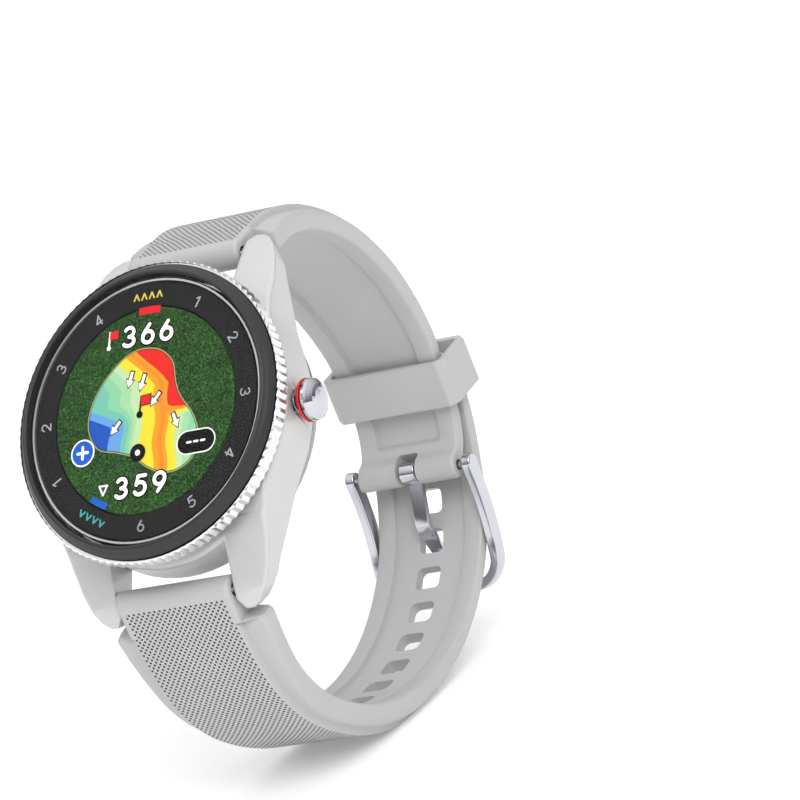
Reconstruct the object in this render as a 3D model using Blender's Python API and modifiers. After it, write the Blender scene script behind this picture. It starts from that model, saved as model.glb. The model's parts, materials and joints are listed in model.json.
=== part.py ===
"""Golf GPS watch, buckled, standing on its strap.

Every length below is in millimetres in the watch's own axes, and the helpers turn it into metres:
X points to 3 o'clock, Y to 12 o'clock and Z out of the dial, with the origin at the dial's centre.
The watch frame, an empty, then leans the whole assembly back and stands it on z = 0.
"""

import math

import bmesh
import bpy
import numpy as np
from mathutils import Matrix, Vector

MM = 0.001
GAP = 0.3  # the clearance that neighbouring pieces keep

# How the watch stands: the dial faces -Y and leans back by this much
LEAN_DEG = 35.0

# Front: glass, index ring, accent ring, rotating bezel
SCREEN_R = 15.64
INDEX_IN_R = 15.95
INDEX_OUT_R = 19.42
ACCENT_IN_R = 19.78
ACCENT_OUT_R = 20.08
GLASS_R = 20.30
GLASS_BOTTOM = 0.30
GLASS_TOP = 0.90
BEZEL_IN_R = 20.62
BEZEL_OUT_R = 22.35
COIN_IN_R = 21.3
COIN_LIP_R = 22.64
COIN_R = 23.05
COIN_ROOT_R = 22.74
COIN_TOP = -0.90
COIN_BOTTOM = -3.00
COIN_TEETH = 104
FRONT_STEPS = 80
INNER_STEPS = 40

# Mid case
CASE_R = 22.1
CASE_TOP = -3.9
CASE_BOTTOM = -13.1
CASE_EDGE = 0.7  # rounding of the outline's edges
CASE_DRAFT = 0.09  # the flanks lean in towards the back by this share of their distance from LUG_IN_X
CAVITY_R = 17.4
CAVITY_TOP = -5.0
DISPLAY_HOLE_R = 16.6
LUG_IN_X = 10.15
LUG_REACH = 28.9
LUG_FRONT = (  # the front face's height at each distance from 3 o'clock's axis
    (13.0, -3.9), (16.0, -4.6), (20.0, -6.3), (23.0, -7.7), (25.8, -8.85), (27.5, -9.9), (28.9, -11.0),
)
LUG_SIDE_SLOPE = 0.12
LUG_DRAFT = 0.15  # and the lugs' outer sides by this share

# Case back
BACK_R = 20.6
BACK_TOP = -13.4
BACK_BOTTOM = -14.6
BACK_EDGE = 0.35
GROOVE_IN_R = 17.75
GROOVE_OUT_R = 18.4
GROOVE_TOP = -12.3
SCREW_RING_R = 19.4
SCREW_R = 0.5
SCREW_ANGLES = (52.0, 128.0, 232.0, 308.0)
CONTACT_PITCH = 2.5
CONTACT_Y = -8.5

# Crown button at 3 o'clock
BUTTON_Z = -7.7
BUTTON_R = 3.15
BUTTON_BASE_X = 23.15
BUTTON_END_X = 25.75
STEM_R = 0.9
STEM_IN_X = 17.9
BUTTON_TRAVEL = 0.7

# Spring bars
BAR_Y = 25.8
BAR_Z = -10.2
BAR_R = 0.75
BAR_TIP_R = 0.5
BAR_BORE_R = 1.1

# Straps: the middle line of each half as (Y, Z), from its spring bar to its free end
SHORT_LINE = (
    (25.8, -10.2), (28.6, -13.8), (32.3, -18.2), (35.5, -25.0), (37.2, -33.0), (37.3, -41.0),
    (35.6, -50.0), (32.3, -57.9), (28.9, -63.4), (26.3, -66.1), (23.45, -68.75), (20.6, -71.4),
    (17.5, -73.2), (14.0, -74.1), (10.4, -73.6),
)
LONG_LINE = (
    (-25.8, -10.2), (-28.6, -13.8), (-33.2, -19.8), (-36.3, -25.6), (-37.8, -32.5), (-37.5, -41.0),
    (-35.7, -49.5), (-32.0, -58.2), (-25.8, -67.2), (-18.0, -74.2), (-9.5, -78.6), (-1.0, -80.6),
    (7.0, -80.1), (13.0, -78.4), (18.3, -76.3), (22.75, -73.7), (25.6, -71.05), (28.05, -68.77),
)
SHOULDER_AT = 4.9  # along the middle line, where the rails start behind the lugs
CORE_HALF = 9.75
BAND_HALF = 9.15
STRAP_HALF_THICK = 1.7
SHORT_THINS_BY = 0.25
LONG_HALF_THICK_END = 1.25
BAND_RISE = 1.15
STATION_STEP = 2.4
HOLE_PITCH = 6.6
HOLE_HALF_LENGTH = 2.0
HOLE_HALF_WIDTH = 2.15
HOLE_COUNT = 10
TONGUE_HOLE_Y = 0.75
TONGUE_HOLE = 3  # which hole, from the tail, the tongue is in

# Buckle and keeper
HINGE_Y = 10.4
HINGE_Z = -73.6
HINGE_EYE_R = 1.5
HINGE_BORE_R = 0.95
HINGE_PIN_R = 0.6
FRAME_IN_X = 10.0
FRAME_OUT_X = 11.6
FRAME_ARM_HALF_DEPTH = 1.35
FRAME_BAR_HALF_DEPTH = 1.0
FRAME_CORNER_R = 4.5
FRAME_BULGE = 1.2
FAR_BAR_Y = -6.5
FAR_BAR_Z = -84.15
KEEPER_AT = 65.9  # along the short strap's middle line
KEEPER_WIDTH = 7.8
KEEPER_WALL = 1.3
KEEPER_SLACK = 0.45
KEEPER_OUTER_SLACK = 1.5
KEEPER_IN_X = 9.98

PARTS = "golf_gps_watch"
CUTTERS = "cutters"


def clear_scene():
    for old in list(bpy.data.objects):
        bpy.data.objects.remove(old, do_unlink=True)


def new_collection(name, hidden=False):
    collection = bpy.data.collections.new(name)
    bpy.context.scene.collection.children.link(collection)
    collection.hide_render = hidden
    return collection


clear_scene()
parts = new_collection(PARTS)
cutters = new_collection(CUTTERS, hidden=True)
watch = bpy.data.objects.new("watch_frame", None)
parts.objects.link(watch)


# ---------------------------------------------------------------- materials


def material(name, colour, roughness, metallic=0.0, alpha=1.0):
    made = bpy.data.materials.new(name)
    made.use_nodes = True
    shader = made.node_tree.nodes["Principled BSDF"]
    shader.inputs["Base Color"].default_value = (*colour, 1.0)
    shader.inputs["Roughness"].default_value = roughness
    shader.inputs["Metallic"].default_value = metallic
    shader.inputs["Alpha"].default_value = alpha
    made.diffuse_color = (*colour, alpha)
    return made


CASE_GREY = (0.62, 0.61, 0.59)
STRAP_GREY = (0.56, 0.56, 0.55)
CHARCOAL = (0.035, 0.035, 0.038)
SILVER = (0.78, 0.78, 0.79)


# ------------------------------------------------------------ making objects


def place(obj, look, location=(0, 0, 0), rotation=(0, 0, 0)):
    """Puts a part in the watch frame, with its material."""
    obj.parent = watch
    obj.location = Vector(location) * MM
    obj.rotation_euler = rotation
    obj.data.materials.clear()
    obj.data.materials.append(look)
    parts.objects.link(obj)
    return obj


def mesh_object(name, bm):
    """An object from a mesh made in millimetres, shaded smooth with sharp edges kept."""
    bmesh.ops.scale(bm, vec=(MM, MM, MM), verts=bm.verts)
    bmesh.ops.recalc_face_normals(bm, faces=bm.faces)
    mesh = bpy.data.meshes.new(name)
    bm.to_mesh(mesh)
    bm.free()
    mesh.shade_smooth()
    mesh.set_sharp_from_angle(angle=math.radians(35))
    return bpy.data.objects.new(name, mesh)


def cutter(obj, location=(0, 0, 0), rotation=(0, 0, 0)):
    obj.parent = watch
    obj.location = Vector(location) * MM
    obj.rotation_euler = rotation
    obj.hide_render = True
    obj.display_type = "WIRE"
    cutters.objects.link(obj)
    return obj


def combine(obj, other, operation):
    boolean = obj.modifiers.new(f"{operation.lower()}_{other.name}", "BOOLEAN")
    boolean.operation = operation
    boolean.object = other
    boolean.solver = "EXACT"


def cut(obj, *others):
    for other in others:
        combine(obj, other, "DIFFERENCE")


def join(obj, *others):
    for other in others:
        combine(obj, other, "UNION")


def turned(name, profile, steps):
    """A turned piece about its own Z. The profile is (radius, height) pairs, down the outer side."""
    bm = bmesh.new()
    verts = [bm.verts.new((r * MM, 0, z * MM)) for r, z in profile]
    for first, second in zip(verts, verts[1:]):
        bm.edges.new((first, second))
    if min(r for r, _ in profile) > 0:
        bm.edges.new((verts[-1], verts[0]))
    mesh = bpy.data.meshes.new(name)
    bm.to_mesh(mesh)
    bm.free()
    obj = bpy.data.objects.new(name, mesh)
    screw = obj.modifiers.new("turn", "SCREW")
    screw.steps = steps
    screw.render_steps = steps
    screw.use_merge_vertices = True
    screw.merge_threshold = 1e-6
    screw.use_smooth_shade = True
    return obj


def ring(name, inner, outer, bottom, top, steps, edge=0.0):
    """A flat ring of rectangular section, with its outer edges broken by edge."""
    profile = [(inner, top), (outer - edge, top), (outer, top - edge)]
    profile += [(outer, bottom + edge), (outer - edge, bottom), (inner, bottom)]
    if edge == 0.0:
        profile = [(inner, top), (outer, top), (outer, bottom), (inner, bottom)]
    return turned(name, profile, steps)


def rod(name, radius, low, high, sides=24):
    """A plain cylinder about its own Z, from low to high."""
    bm = bmesh.new()
    bmesh.ops.create_cone(
        bm, cap_ends=True, segments=sides, radius1=radius, radius2=radius, depth=high - low
    )
    bmesh.ops.translate(bm, vec=(0, 0, (low + high) / 2), verts=bm.verts)
    return mesh_object(name, bm)


def box(name, low, high, edge=0.0):
    """A box between two corners, with its edges rounded by edge."""
    bm = bmesh.new()
    bmesh.ops.create_cube(bm, size=1.0)
    low, high = Vector(low), Vector(high)
    bmesh.ops.scale(bm, vec=high - low, verts=bm.verts)
    bmesh.ops.translate(bm, vec=(low + high) / 2, verts=bm.verts)
    obj = mesh_object(name, bm)
    if edge:
        bevel = obj.modifiers.new("edges", "BEVEL")
        bevel.width = edge * MM
        bevel.segments = 2
    return obj


def loft(name, rings, origin=(0, 0, 0)):
    """A solid through rings of points, each with as many points as the others."""
    bm = bmesh.new()
    shift = Vector(origin)
    made = [[bm.verts.new(Vector(p) - shift) for p in ring_points] for ring_points in rings]
    count = len(made[0])
    for near, far in zip(made, made[1:]):
        for i in range(count):
            j = (i + 1) % count
            bm.faces.new((near[i], near[j], far[j], far[i]))
    bm.faces.new(list(reversed(made[0])))
    bm.faces.new(made[-1])
    return mesh_object(name, bm)


ALONG_X = (0, math.pi / 2, 0)


# ------------------------------------------------------------------- front


def make_front():
    clear = material("cover_glass", (0.9, 0.95, 0.97), 0.03, alpha=0.25)
    black = material("index_print", (0.03, 0.03, 0.033), 0.5)
    screen = material("screen", (0.10, 0.32, 0.10), 0.25)
    silver = material("accent_metal", SILVER, 0.2, 1.0)
    edge = 0.25
    glass = turned(
        "cover_glass",
        [
            (0, GLASS_TOP),
            (GLASS_R - edge, GLASS_TOP),
            (GLASS_R, GLASS_TOP - edge),
            (GLASS_R, GLASS_BOTTOM),
            (0, GLASS_BOTTOM),
        ],
        FRONT_STEPS,
    )
    place(glass, clear)
    place(ring("index_ring", INDEX_IN_R, INDEX_OUT_R, -0.8, 0.0, FRONT_STEPS), black)
    place(ring("accent_ring", ACCENT_IN_R, ACCENT_OUT_R, -0.8, 0.0, FRONT_STEPS), silver)
    panel = turned(
        "display_panel", [(0, 0), (SCREEN_R, 0), (SCREEN_R, -1.6), (0, -1.6)], FRONT_STEPS
    )
    place(panel, screen)
    frame_profile = [
        (INDEX_IN_R + 0.1, -1.1),
        (BEZEL_IN_R - GAP, -1.1),
        (BEZEL_IN_R - GAP, -3.6),
        (INDEX_IN_R + 0.1, -3.6),
    ]
    tray = turned("display_frame", frame_profile, INNER_STEPS * 2)
    place(tray, material("display_frame", (0.05, 0.05, 0.055), 0.6))
    back = turned(
        "display_backplate", [(0, -1.9), (15.4, -1.9), (15.4, -2.3), (0, -2.3)], INNER_STEPS
    )
    place(back, material("backplate_steel", (0.6, 0.6, 0.62), 0.35, 1.0))


def bezel_profile():
    """The convex top of the bezel, from its inner edge to its outer one, then the plain underside."""
    top = []
    for step in range(7):
        share = step / 6
        r = BEZEL_IN_R + (BEZEL_OUT_R - BEZEL_IN_R) * share
        z = 0.95 + 0.18 * math.sin(math.pi * min(1.0, share * 2.2)) - 1.40 * share**2.1
        top.append((r, z))
    return top + [(BEZEL_OUT_R, COIN_TOP + GAP), (BEZEL_IN_R, COIN_TOP + GAP)]


def make_bezel():
    dark = material("bezel_dark", CHARCOAL, 0.4)
    silver = material("coin_edge_metal", SILVER, 0.25, 1.0)
    place(turned("bezel_ring", bezel_profile(), FRONT_STEPS), dark)
    bm = bmesh.new()
    layers = (
        (COIN_LIP_R, COIN_LIP_R, COIN_TOP),
        (COIN_LIP_R + 0.06, COIN_LIP_R + 0.02, COIN_TOP + 0.4),
        (COIN_R, COIN_ROOT_R, COIN_TOP + 0.1),
        (COIN_R, COIN_ROOT_R, COIN_BOTTOM + 0.3),
        (COIN_R - 0.25, COIN_ROOT_R - 0.12, COIN_BOTTOM),
        (COIN_IN_R, COIN_IN_R, COIN_BOTTOM),
        (COIN_IN_R, COIN_IN_R, COIN_TOP),
    )
    rings = []
    for crest, root, height in layers:
        loop = []
        for i in range(2 * COIN_TEETH):
            angle = math.pi * i / COIN_TEETH
            r = crest if i % 2 else root
            loop.append(bm.verts.new((r * math.cos(angle), r * math.sin(angle), height)))
        rings.append(loop)
    for near, far in zip(rings, rings[1:] + rings[:1]):
        for i in range(2 * COIN_TEETH):
            j = (i + 1) % (2 * COIN_TEETH)
            bm.faces.new((near[i], near[j], far[j], far[i]))
    place(mesh_object("coin_edge_ring", bm), silver)
    spring = ring("bezel_click_spring", BEZEL_IN_R + 0.1, 21.9, -3.6, -3.3, INNER_STEPS)
    place(spring, material("spring_steel", (0.7, 0.7, 0.72), 0.3, 1.0))


# ---------------------------------------------------------------- mid case


def lug_outline():
    """A quarter of the case's outline: the round flank, the sweep out to the lug, its tip and its inner face."""
    flank = [math.radians(a) for a in range(0, 28, 4)]
    points = [(CASE_R * math.cos(a), CASE_R * math.sin(a)) for a in flank]
    points += [(18.7, 13.0), (17.9, 16.6), (17.2, 20.2), (16.3, 23.8), (15.2, 26.4)]
    points += [(14.0, 27.9), (12.7, LUG_REACH - 0.2), (11.3, LUG_REACH - 0.1), (LUG_IN_X, 27.6)]
    points += [(LUG_IN_X, 24.6), (LUG_IN_X, 22.0)]
    start = math.acos(LUG_IN_X / CASE_R)
    shoulder = [start + (math.pi / 2 - start) * i / 5 for i in range(6)]
    return points + [(CASE_R * math.cos(a), CASE_R * math.sin(a)) for a in shoulder]


def whole_outline():
    quarter = lug_outline()
    left = [(-x, y) for x, y in reversed(quarter[:-1])]
    upper = quarter + left
    lower = [(x, -y) for x, y in reversed(upper[1:-1])]
    return upper + lower


def lug_top(x, y):
    """Height of the case's front face: level over the body, falling away along the lugs and towards their sides."""
    distances, heights = zip(*LUG_FRONT)
    aside = max(0.0, abs(x) - LUG_IN_X) * between(abs(y), 13.0, 20.0)
    return float(np.interp(abs(y), distances, heights)) - LUG_SIDE_SLOPE * aside


def lug_bottom(y):
    over = max(0.0, abs(y) - 20.0)
    return CASE_BOTTOM + 0.2 * between(abs(y), 16.0, 22.0) - 0.012 * over**2


def make_case():
    grey = material("case_satin", CASE_GREY, 0.38)
    curve = bpy.data.curves.new("mid_case", "CURVE")
    curve.dimensions = "2D"
    curve.fill_mode = "BOTH"
    curve.extrude = ((CASE_TOP - CASE_BOTTOM) / 2 - CASE_EDGE) * MM
    curve.bevel_depth = CASE_EDGE * MM
    curve.bevel_resolution = 1
    curve.offset = -CASE_EDGE * MM
    outline = whole_outline()
    spline = curve.splines.new("POLY")
    spline.points.add(len(outline) - 1)
    for point, (x, y) in zip(spline.points, outline):
        point.co = (x * MM, y * MM, 0, 1)
    spline.use_cyclic_u = True
    flat = bpy.data.objects.new("case_outline", curve)
    parts.objects.link(flat)
    bpy.context.view_layer.update()
    graph = bpy.context.evaluated_depsgraph_get()
    mesh = bpy.data.meshes.new_from_object(flat.evaluated_get(graph))
    bpy.data.objects.remove(flat, do_unlink=True)
    bm = bmesh.new()
    bm.from_mesh(mesh)
    bpy.data.meshes.remove(mesh)
    bmesh.ops.scale(bm, vec=(1 / MM, 1 / MM, 1 / MM), verts=bm.verts)
    bmesh.ops.remove_doubles(bm, verts=bm.verts, dist=0.001)
    middle = (CASE_TOP + CASE_BOTTOM) / 2
    bmesh.ops.translate(bm, vec=(0, 0, middle), verts=bm.verts)
    for y in (14, 16.5, 19, 21.5, 24, 26):
        for side in (-1, 1):
            everything = list(bm.verts) + list(bm.edges) + list(bm.faces)
            bmesh.ops.bisect_plane(bm, geom=everything, plane_co=(0, side * y, 0), plane_no=(0, 1, 0))
    bmesh.ops.triangulate(bm, faces=[f for f in bm.faces if len(f.verts) > 4])
    for vert in bm.verts:
        x, y, z = vert.co
        depth = (CASE_TOP - z) / (CASE_TOP - CASE_BOTTOM)
        top, bottom = lug_top(x, y), lug_bottom(y)
        shear = min(1.0, max(0.0, (abs(y) - 23.0) / 4.0)) * depth * 1.6
        beyond = max(0.0, abs(x) - LUG_IN_X)
        on_lug = between(abs(y), 14.0, 22.0)
        lean = (CASE_DRAFT * (1 - on_lug) + LUG_DRAFT * on_lug) * depth
        vert.co.x = x - math.copysign(lean * beyond, x)
        vert.co.y = y - math.copysign(shear, y)
        vert.co.z = top + (bottom - top) * depth
    case = mesh_object("mid_case", bm)
    cut(
        case,
        cutter(rod("cavity", CAVITY_R, CASE_BOTTOM - 3, CAVITY_TOP, 64)),
        cutter(rod("display_hole", DISPLAY_HOLE_R, CAVITY_TOP - 1, CASE_TOP + 3, 64)),
        cutter(ring("gasket_groove", GROOVE_IN_R, GROOVE_OUT_R, CASE_BOTTOM - 1, GROOVE_TOP, 64)),
        cutter(rod("stem_bore", STEM_R + GAP, 0, 8, 20), (16, 0, BUTTON_Z), ALONG_X),
        cutter(rod("spring_pocket", 2.1, 0, 3, 24), (20.4, 0, BUTTON_Z), ALONG_X),
        *(
            cutter(rod(f"bar_hole_{name}", BAR_TIP_R + GAP, -12.4, 12.4, 16), (0, y, BAR_Z), ALONG_X)
            for name, y in (("12", BAR_Y), ("6", -BAR_Y))
        ),
    )
    for index, angle in enumerate(SCREW_ANGLES):
        x = SCREW_RING_R * math.cos(math.radians(angle))
        y = SCREW_RING_R * math.sin(math.radians(angle))
        cut(case, cutter(rod(f"screw_hole_{index}", SCREW_R + GAP, CASE_BOTTOM - 2, -10.1, 12), (x, y, 0)))
    place(case, grey)


def make_back():
    steel = material("case_back_steel", (0.55, 0.55, 0.56), 0.35, 1.0)
    gold = material("contact_gold", (0.83, 0.66, 0.32), 0.25, 1.0)
    screw_steel = material("screw_steel", (0.5, 0.5, 0.52), 0.3, 1.0)
    back = turned(
        "case_back",
        [
            (0, BACK_TOP),
            (BACK_R, BACK_TOP),
            (BACK_R, BACK_BOTTOM + BACK_EDGE),
            (BACK_R - BACK_EDGE, BACK_BOTTOM),
            (0, BACK_BOTTOM),
        ],
        64,
    )
    for index, angle in enumerate(SCREW_ANGLES):
        x = SCREW_RING_R * math.cos(math.radians(angle))
        y = SCREW_RING_R * math.sin(math.radians(angle))
        cut(back, cutter(rod(f"back_hole_{index}", SCREW_R + GAP, -16, -12, 16), (x, y, 0)))
        screw = turned(
            f"back_screw_{index + 1}",
            [(0, -10.6), (SCREW_R, -10.6), (SCREW_R, -14.5), (0, -14.5)],
            14,
        )
        place(screw, screw_steel, (x, y, 0))
    for index in range(4):
        x = (index - 1.5) * CONTACT_PITCH
        cut(back, cutter(rod(f"contact_hole_{index}", 0.65 + GAP, -16, -12, 16), (x, CONTACT_Y, 0)))
        pin = turned(
            f"charge_contact_{index + 1}",
            [(0, -10.9), (0.65, -10.9), (0.65, -14.5), (0, -14.5)],
            16,
        )
        place(pin, gold, (x, CONTACT_Y, 0))
    place(back, steel)
    gasket = ring("case_back_gasket", 17.98, 18.2, -13.1, -12.6, 64)
    place(gasket, material("gasket_rubber", (0.05, 0.05, 0.05), 0.8))


# ---------------------------------------------------------------- internals


def make_inside():
    board = turned("main_board", [(0, -9.6), (15.9, -9.6), (15.9, -10.4), (0, -10.4)], INNER_STEPS)
    place(board, material("board_green", (0.03, 0.16, 0.07), 0.5))
    cell = box("battery", (-11.6, -10.0, -9.2), (6.3, 6.0, -5.6), 0.6)
    place(cell, material("battery_wrap", (0.25, 0.26, 0.28), 0.45))
    patch = box("gps_antenna", (-7.0, 7.0, -9.2), (7.0, 14.0, -6.0), 0.3)
    place(patch, material("antenna_ceramic", (0.72, 0.66, 0.55), 0.6))
    motor = rod("vibration_motor", 3.5, -9.2, -6.5, 28)
    place(motor, material("motor_can", (0.65, 0.65, 0.66), 0.3, 1.0), (10.2, -7.0, 0))
    switch = box("button_switch", (12.9, -2.2, -9.2), (16.4, 2.2, -6.2), 0.2)
    place(switch, material("switch_body", (0.1, 0.1, 0.11), 0.5))
    frame = ring("inner_frame", 16.3, CAVITY_R - GAP, -11.4, -5.4, INNER_STEPS)
    slot = box("inner_frame_slot", (14.0, -2.6, -9.5), (19.0, 2.6, -4.0))
    cut(frame, cutter(slot))
    place(frame, material("inner_frame_plastic", (0.08, 0.08, 0.09), 0.6))


# ------------------------------------------------------------------- button


def make_button():
    chrome = material("button_chrome", (0.86, 0.86, 0.87), 0.08, 1.0)
    red = material("button_red", (0.72, 0.02, 0.03), 0.3)
    steel = material("stem_steel", (0.6, 0.6, 0.62), 0.3, 1.0)
    dome = [(0, BUTTON_END_X)]
    for step in range(1, 5):
        turn = math.radians(18 * step)
        r = (BUTTON_R - 0.55) * math.sin(turn) / math.sin(math.radians(72))
        dome.append((r, BUTTON_END_X - 0.9 * (1 - math.cos(turn))))
    cap_profile = dome + [
        (BUTTON_R - 0.1, BUTTON_END_X - 1.0),
        (BUTTON_R, BUTTON_END_X - 1.45),
        (BUTTON_R, BUTTON_BASE_X + 0.75),
        (0, BUTTON_BASE_X + 0.75),
    ]
    centre = (0, 0, BUTTON_Z)
    place(turned("button_cap", cap_profile, 40), chrome, centre, ALONG_X)
    seat = ring("button_red_ring", STEM_R + GAP, BUTTON_R + 0.12, BUTTON_BASE_X, 23.6, 40, 0.12)
    place(seat, red, centre, ALONG_X)
    stem_profile = [(0, BUTTON_BASE_X + 0.45), (STEM_R, BUTTON_BASE_X + 0.45)]
    stem_profile += [(STEM_R, STEM_IN_X + 0.8), (0.55, STEM_IN_X + 0.8), (0.55, STEM_IN_X + 0.4)]
    stem_profile += [(STEM_R, STEM_IN_X + 0.4), (STEM_R, STEM_IN_X), (0, STEM_IN_X)]
    place(turned("button_stem", stem_profile, 20), steel, centre, ALONG_X)
    turns, points_a_turn = 3.0, 12
    coil = bpy.data.curves.new("button_spring", "CURVE")
    coil.dimensions = "3D"
    coil.bevel_depth = 0.16 * MM
    coil.bevel_resolution = 2
    coil.use_fill_caps = True
    count = int(turns * points_a_turn) + 1
    spline = coil.splines.new("POLY")
    spline.points.add(count - 1)
    for i in range(count):
        angle = 2 * math.pi * i / points_a_turn
        x = 20.85 + 1.95 * i / (count - 1)
        spline.points[i].co = (x * MM, 1.5 * MM * math.cos(angle), 1.5 * MM * math.sin(angle), 1)
    spring = bpy.data.objects.new("button_spring", coil)
    spring.data.materials.append(material("button_spring_steel", (0.7, 0.7, 0.72), 0.3, 1.0))
    spring.parent = watch
    spring.location = Vector(centre) * MM
    parts.objects.link(spring)


# ------------------------------------------------------------------- straps


class Line:
    """A smooth middle line through (Y, Z) points, measured along its length."""

    def __init__(self, points, side):
        self.side = side
        control = np.array(points)
        ends = np.vstack((2 * control[0] - control[1], control, 2 * control[-1] - control[-2]))
        dense = []
        for p0, p1, p2, p3 in zip(ends, ends[1:], ends[2:], ends[3:]):
            for t in np.linspace(0, 1, 16, endpoint=False):
                dense.append(
                    0.5
                    * (
                        2 * p1
                        + (p2 - p0) * t
                        + (2 * p0 - 5 * p1 + 4 * p2 - p3) * t**2
                        + (3 * p1 - p0 - 3 * p2 + p3) * t**3
                    )
                )
        dense.append(control[-1])
        self.points = np.array(dense)
        steps = np.hypot(*np.diff(self.points, axis=0).T)
        self.lengths = np.concatenate(([0.0], np.cumsum(steps)))
        self.length = float(self.lengths[-1])

    def point(self, along):
        return np.array([np.interp(along, self.lengths, self.points[:, k]) for k in (0, 1)])

    def tangent(self, along):
        step = self.point(min(along + 0.8, self.length)) - self.point(max(along - 0.8, 0.0))
        return step / np.hypot(*step)

    def outward(self, along):
        ty, tz = self.tangent(along)
        return np.array((-tz, ty)) if self.side > 0 else np.array((tz, -ty))

    def at(self, along, x, height):
        """The point x across the strap and height outward of the middle line."""
        y, z = self.point(along) + self.outward(along) * height
        return (x, y, z)


def between(value, first, last):
    """0 up to first, 1 from last, smooth in between."""
    share = min(1.0, max(0.0, (value - first) / (last - first)))
    return share * share * (3 - 2 * share)


def half_width(line, along):
    if line.side > 0:
        return float(np.interp(along, (0, 5, 15, 40, 58, 66, 80), (13.6, 13.3, 12.2, 10.8, 9.8, 9.2, 8.9)))
    return float(np.interp(along, (0, 5, 15, 40, 64, 130), (13.6, 13.3, 12.2, 10.8, 9.65, 9.6)))


def strap_section(line, along, shape):
    """One cross-section, as points from the middle of the inner face round to the middle of the outer one."""
    thick_in, thick_out, rise, recess = shape(along)
    if along < SHOULDER_AT:
        low, high = -thick_in, thick_out + rise
        edge = 0.35
        half = [
            (0, low),
            (5.0, low),
            (6.0, low),
            (8.0, low),
            (CORE_HALF - edge, low),
            (CORE_HALF, low + edge),
            (CORE_HALF, (low + high) / 2),
            (CORE_HALF, high - edge),
            (CORE_HALF - edge, high),
            (0, high),
        ]
    else:
        wide = half_width(line, along)
        edge = 0.55
        band = min(BAND_HALF, wide - 2.2)
        half = [
            (0, -thick_in + recess),
            (wide - 3.6, -thick_in + recess),
            (wide - 3.1, -thick_in),
            (wide - edge, -thick_in),
            (wide, -thick_in + edge),
            (wide, thick_out - edge),
            (wide - edge, thick_out),
            (band + 0.25 + 0.1, thick_out),
            (band, thick_out + rise),
            (0, thick_out + rise),
        ]
    mirrored = [(-x, h) for x, h in reversed(half[1:-1])]
    return [line.at(along, x, h) for x, h in half + mirrored]


def short_shape(along):
    thin = SHORT_THINS_BY * between(along, 48, 60)
    rise = BAND_RISE * (1 - between(along, 46, 60))
    recess = 0.8 * between(along, 9, 13) * (1 - between(along, 75, 76.5))
    start = 0.5 * (1 - between(along, 0, 6))
    return STRAP_HALF_THICK + start - thin, STRAP_HALF_THICK - thin - start, rise, recess


def long_shape(along):
    thin = (STRAP_HALF_THICK - LONG_HALF_THICK_END) * between(along, 50, 80)
    rise = BAND_RISE * (1 - between(along, 50, 66))
    recess = 0.7 * between(along, 9, 13) * (1 - between(along, 118, 121))
    start = 0.5 * (1 - between(along, 0, 6))
    return STRAP_HALF_THICK + start - thin, STRAP_HALF_THICK - thin - start, rise, recess


def strap_stations(line):
    before = [0.0, 1.5, 3.2, SHOULDER_AT - 0.15]
    count = round((line.length - SHOULDER_AT) / STATION_STEP)
    return before + list(np.linspace(SHOULDER_AT, line.length, count + 1))


def strap_blank(name, line, shape):
    return loft(name, [strap_section(line, along, shape) for along in strap_stations(line)])


def end_barrel(name, radius, half, line, y, z):
    barrel = rod(name, radius, -half, half, 28)
    return cutter(barrel, (0, y, z), ALONG_X)


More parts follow.
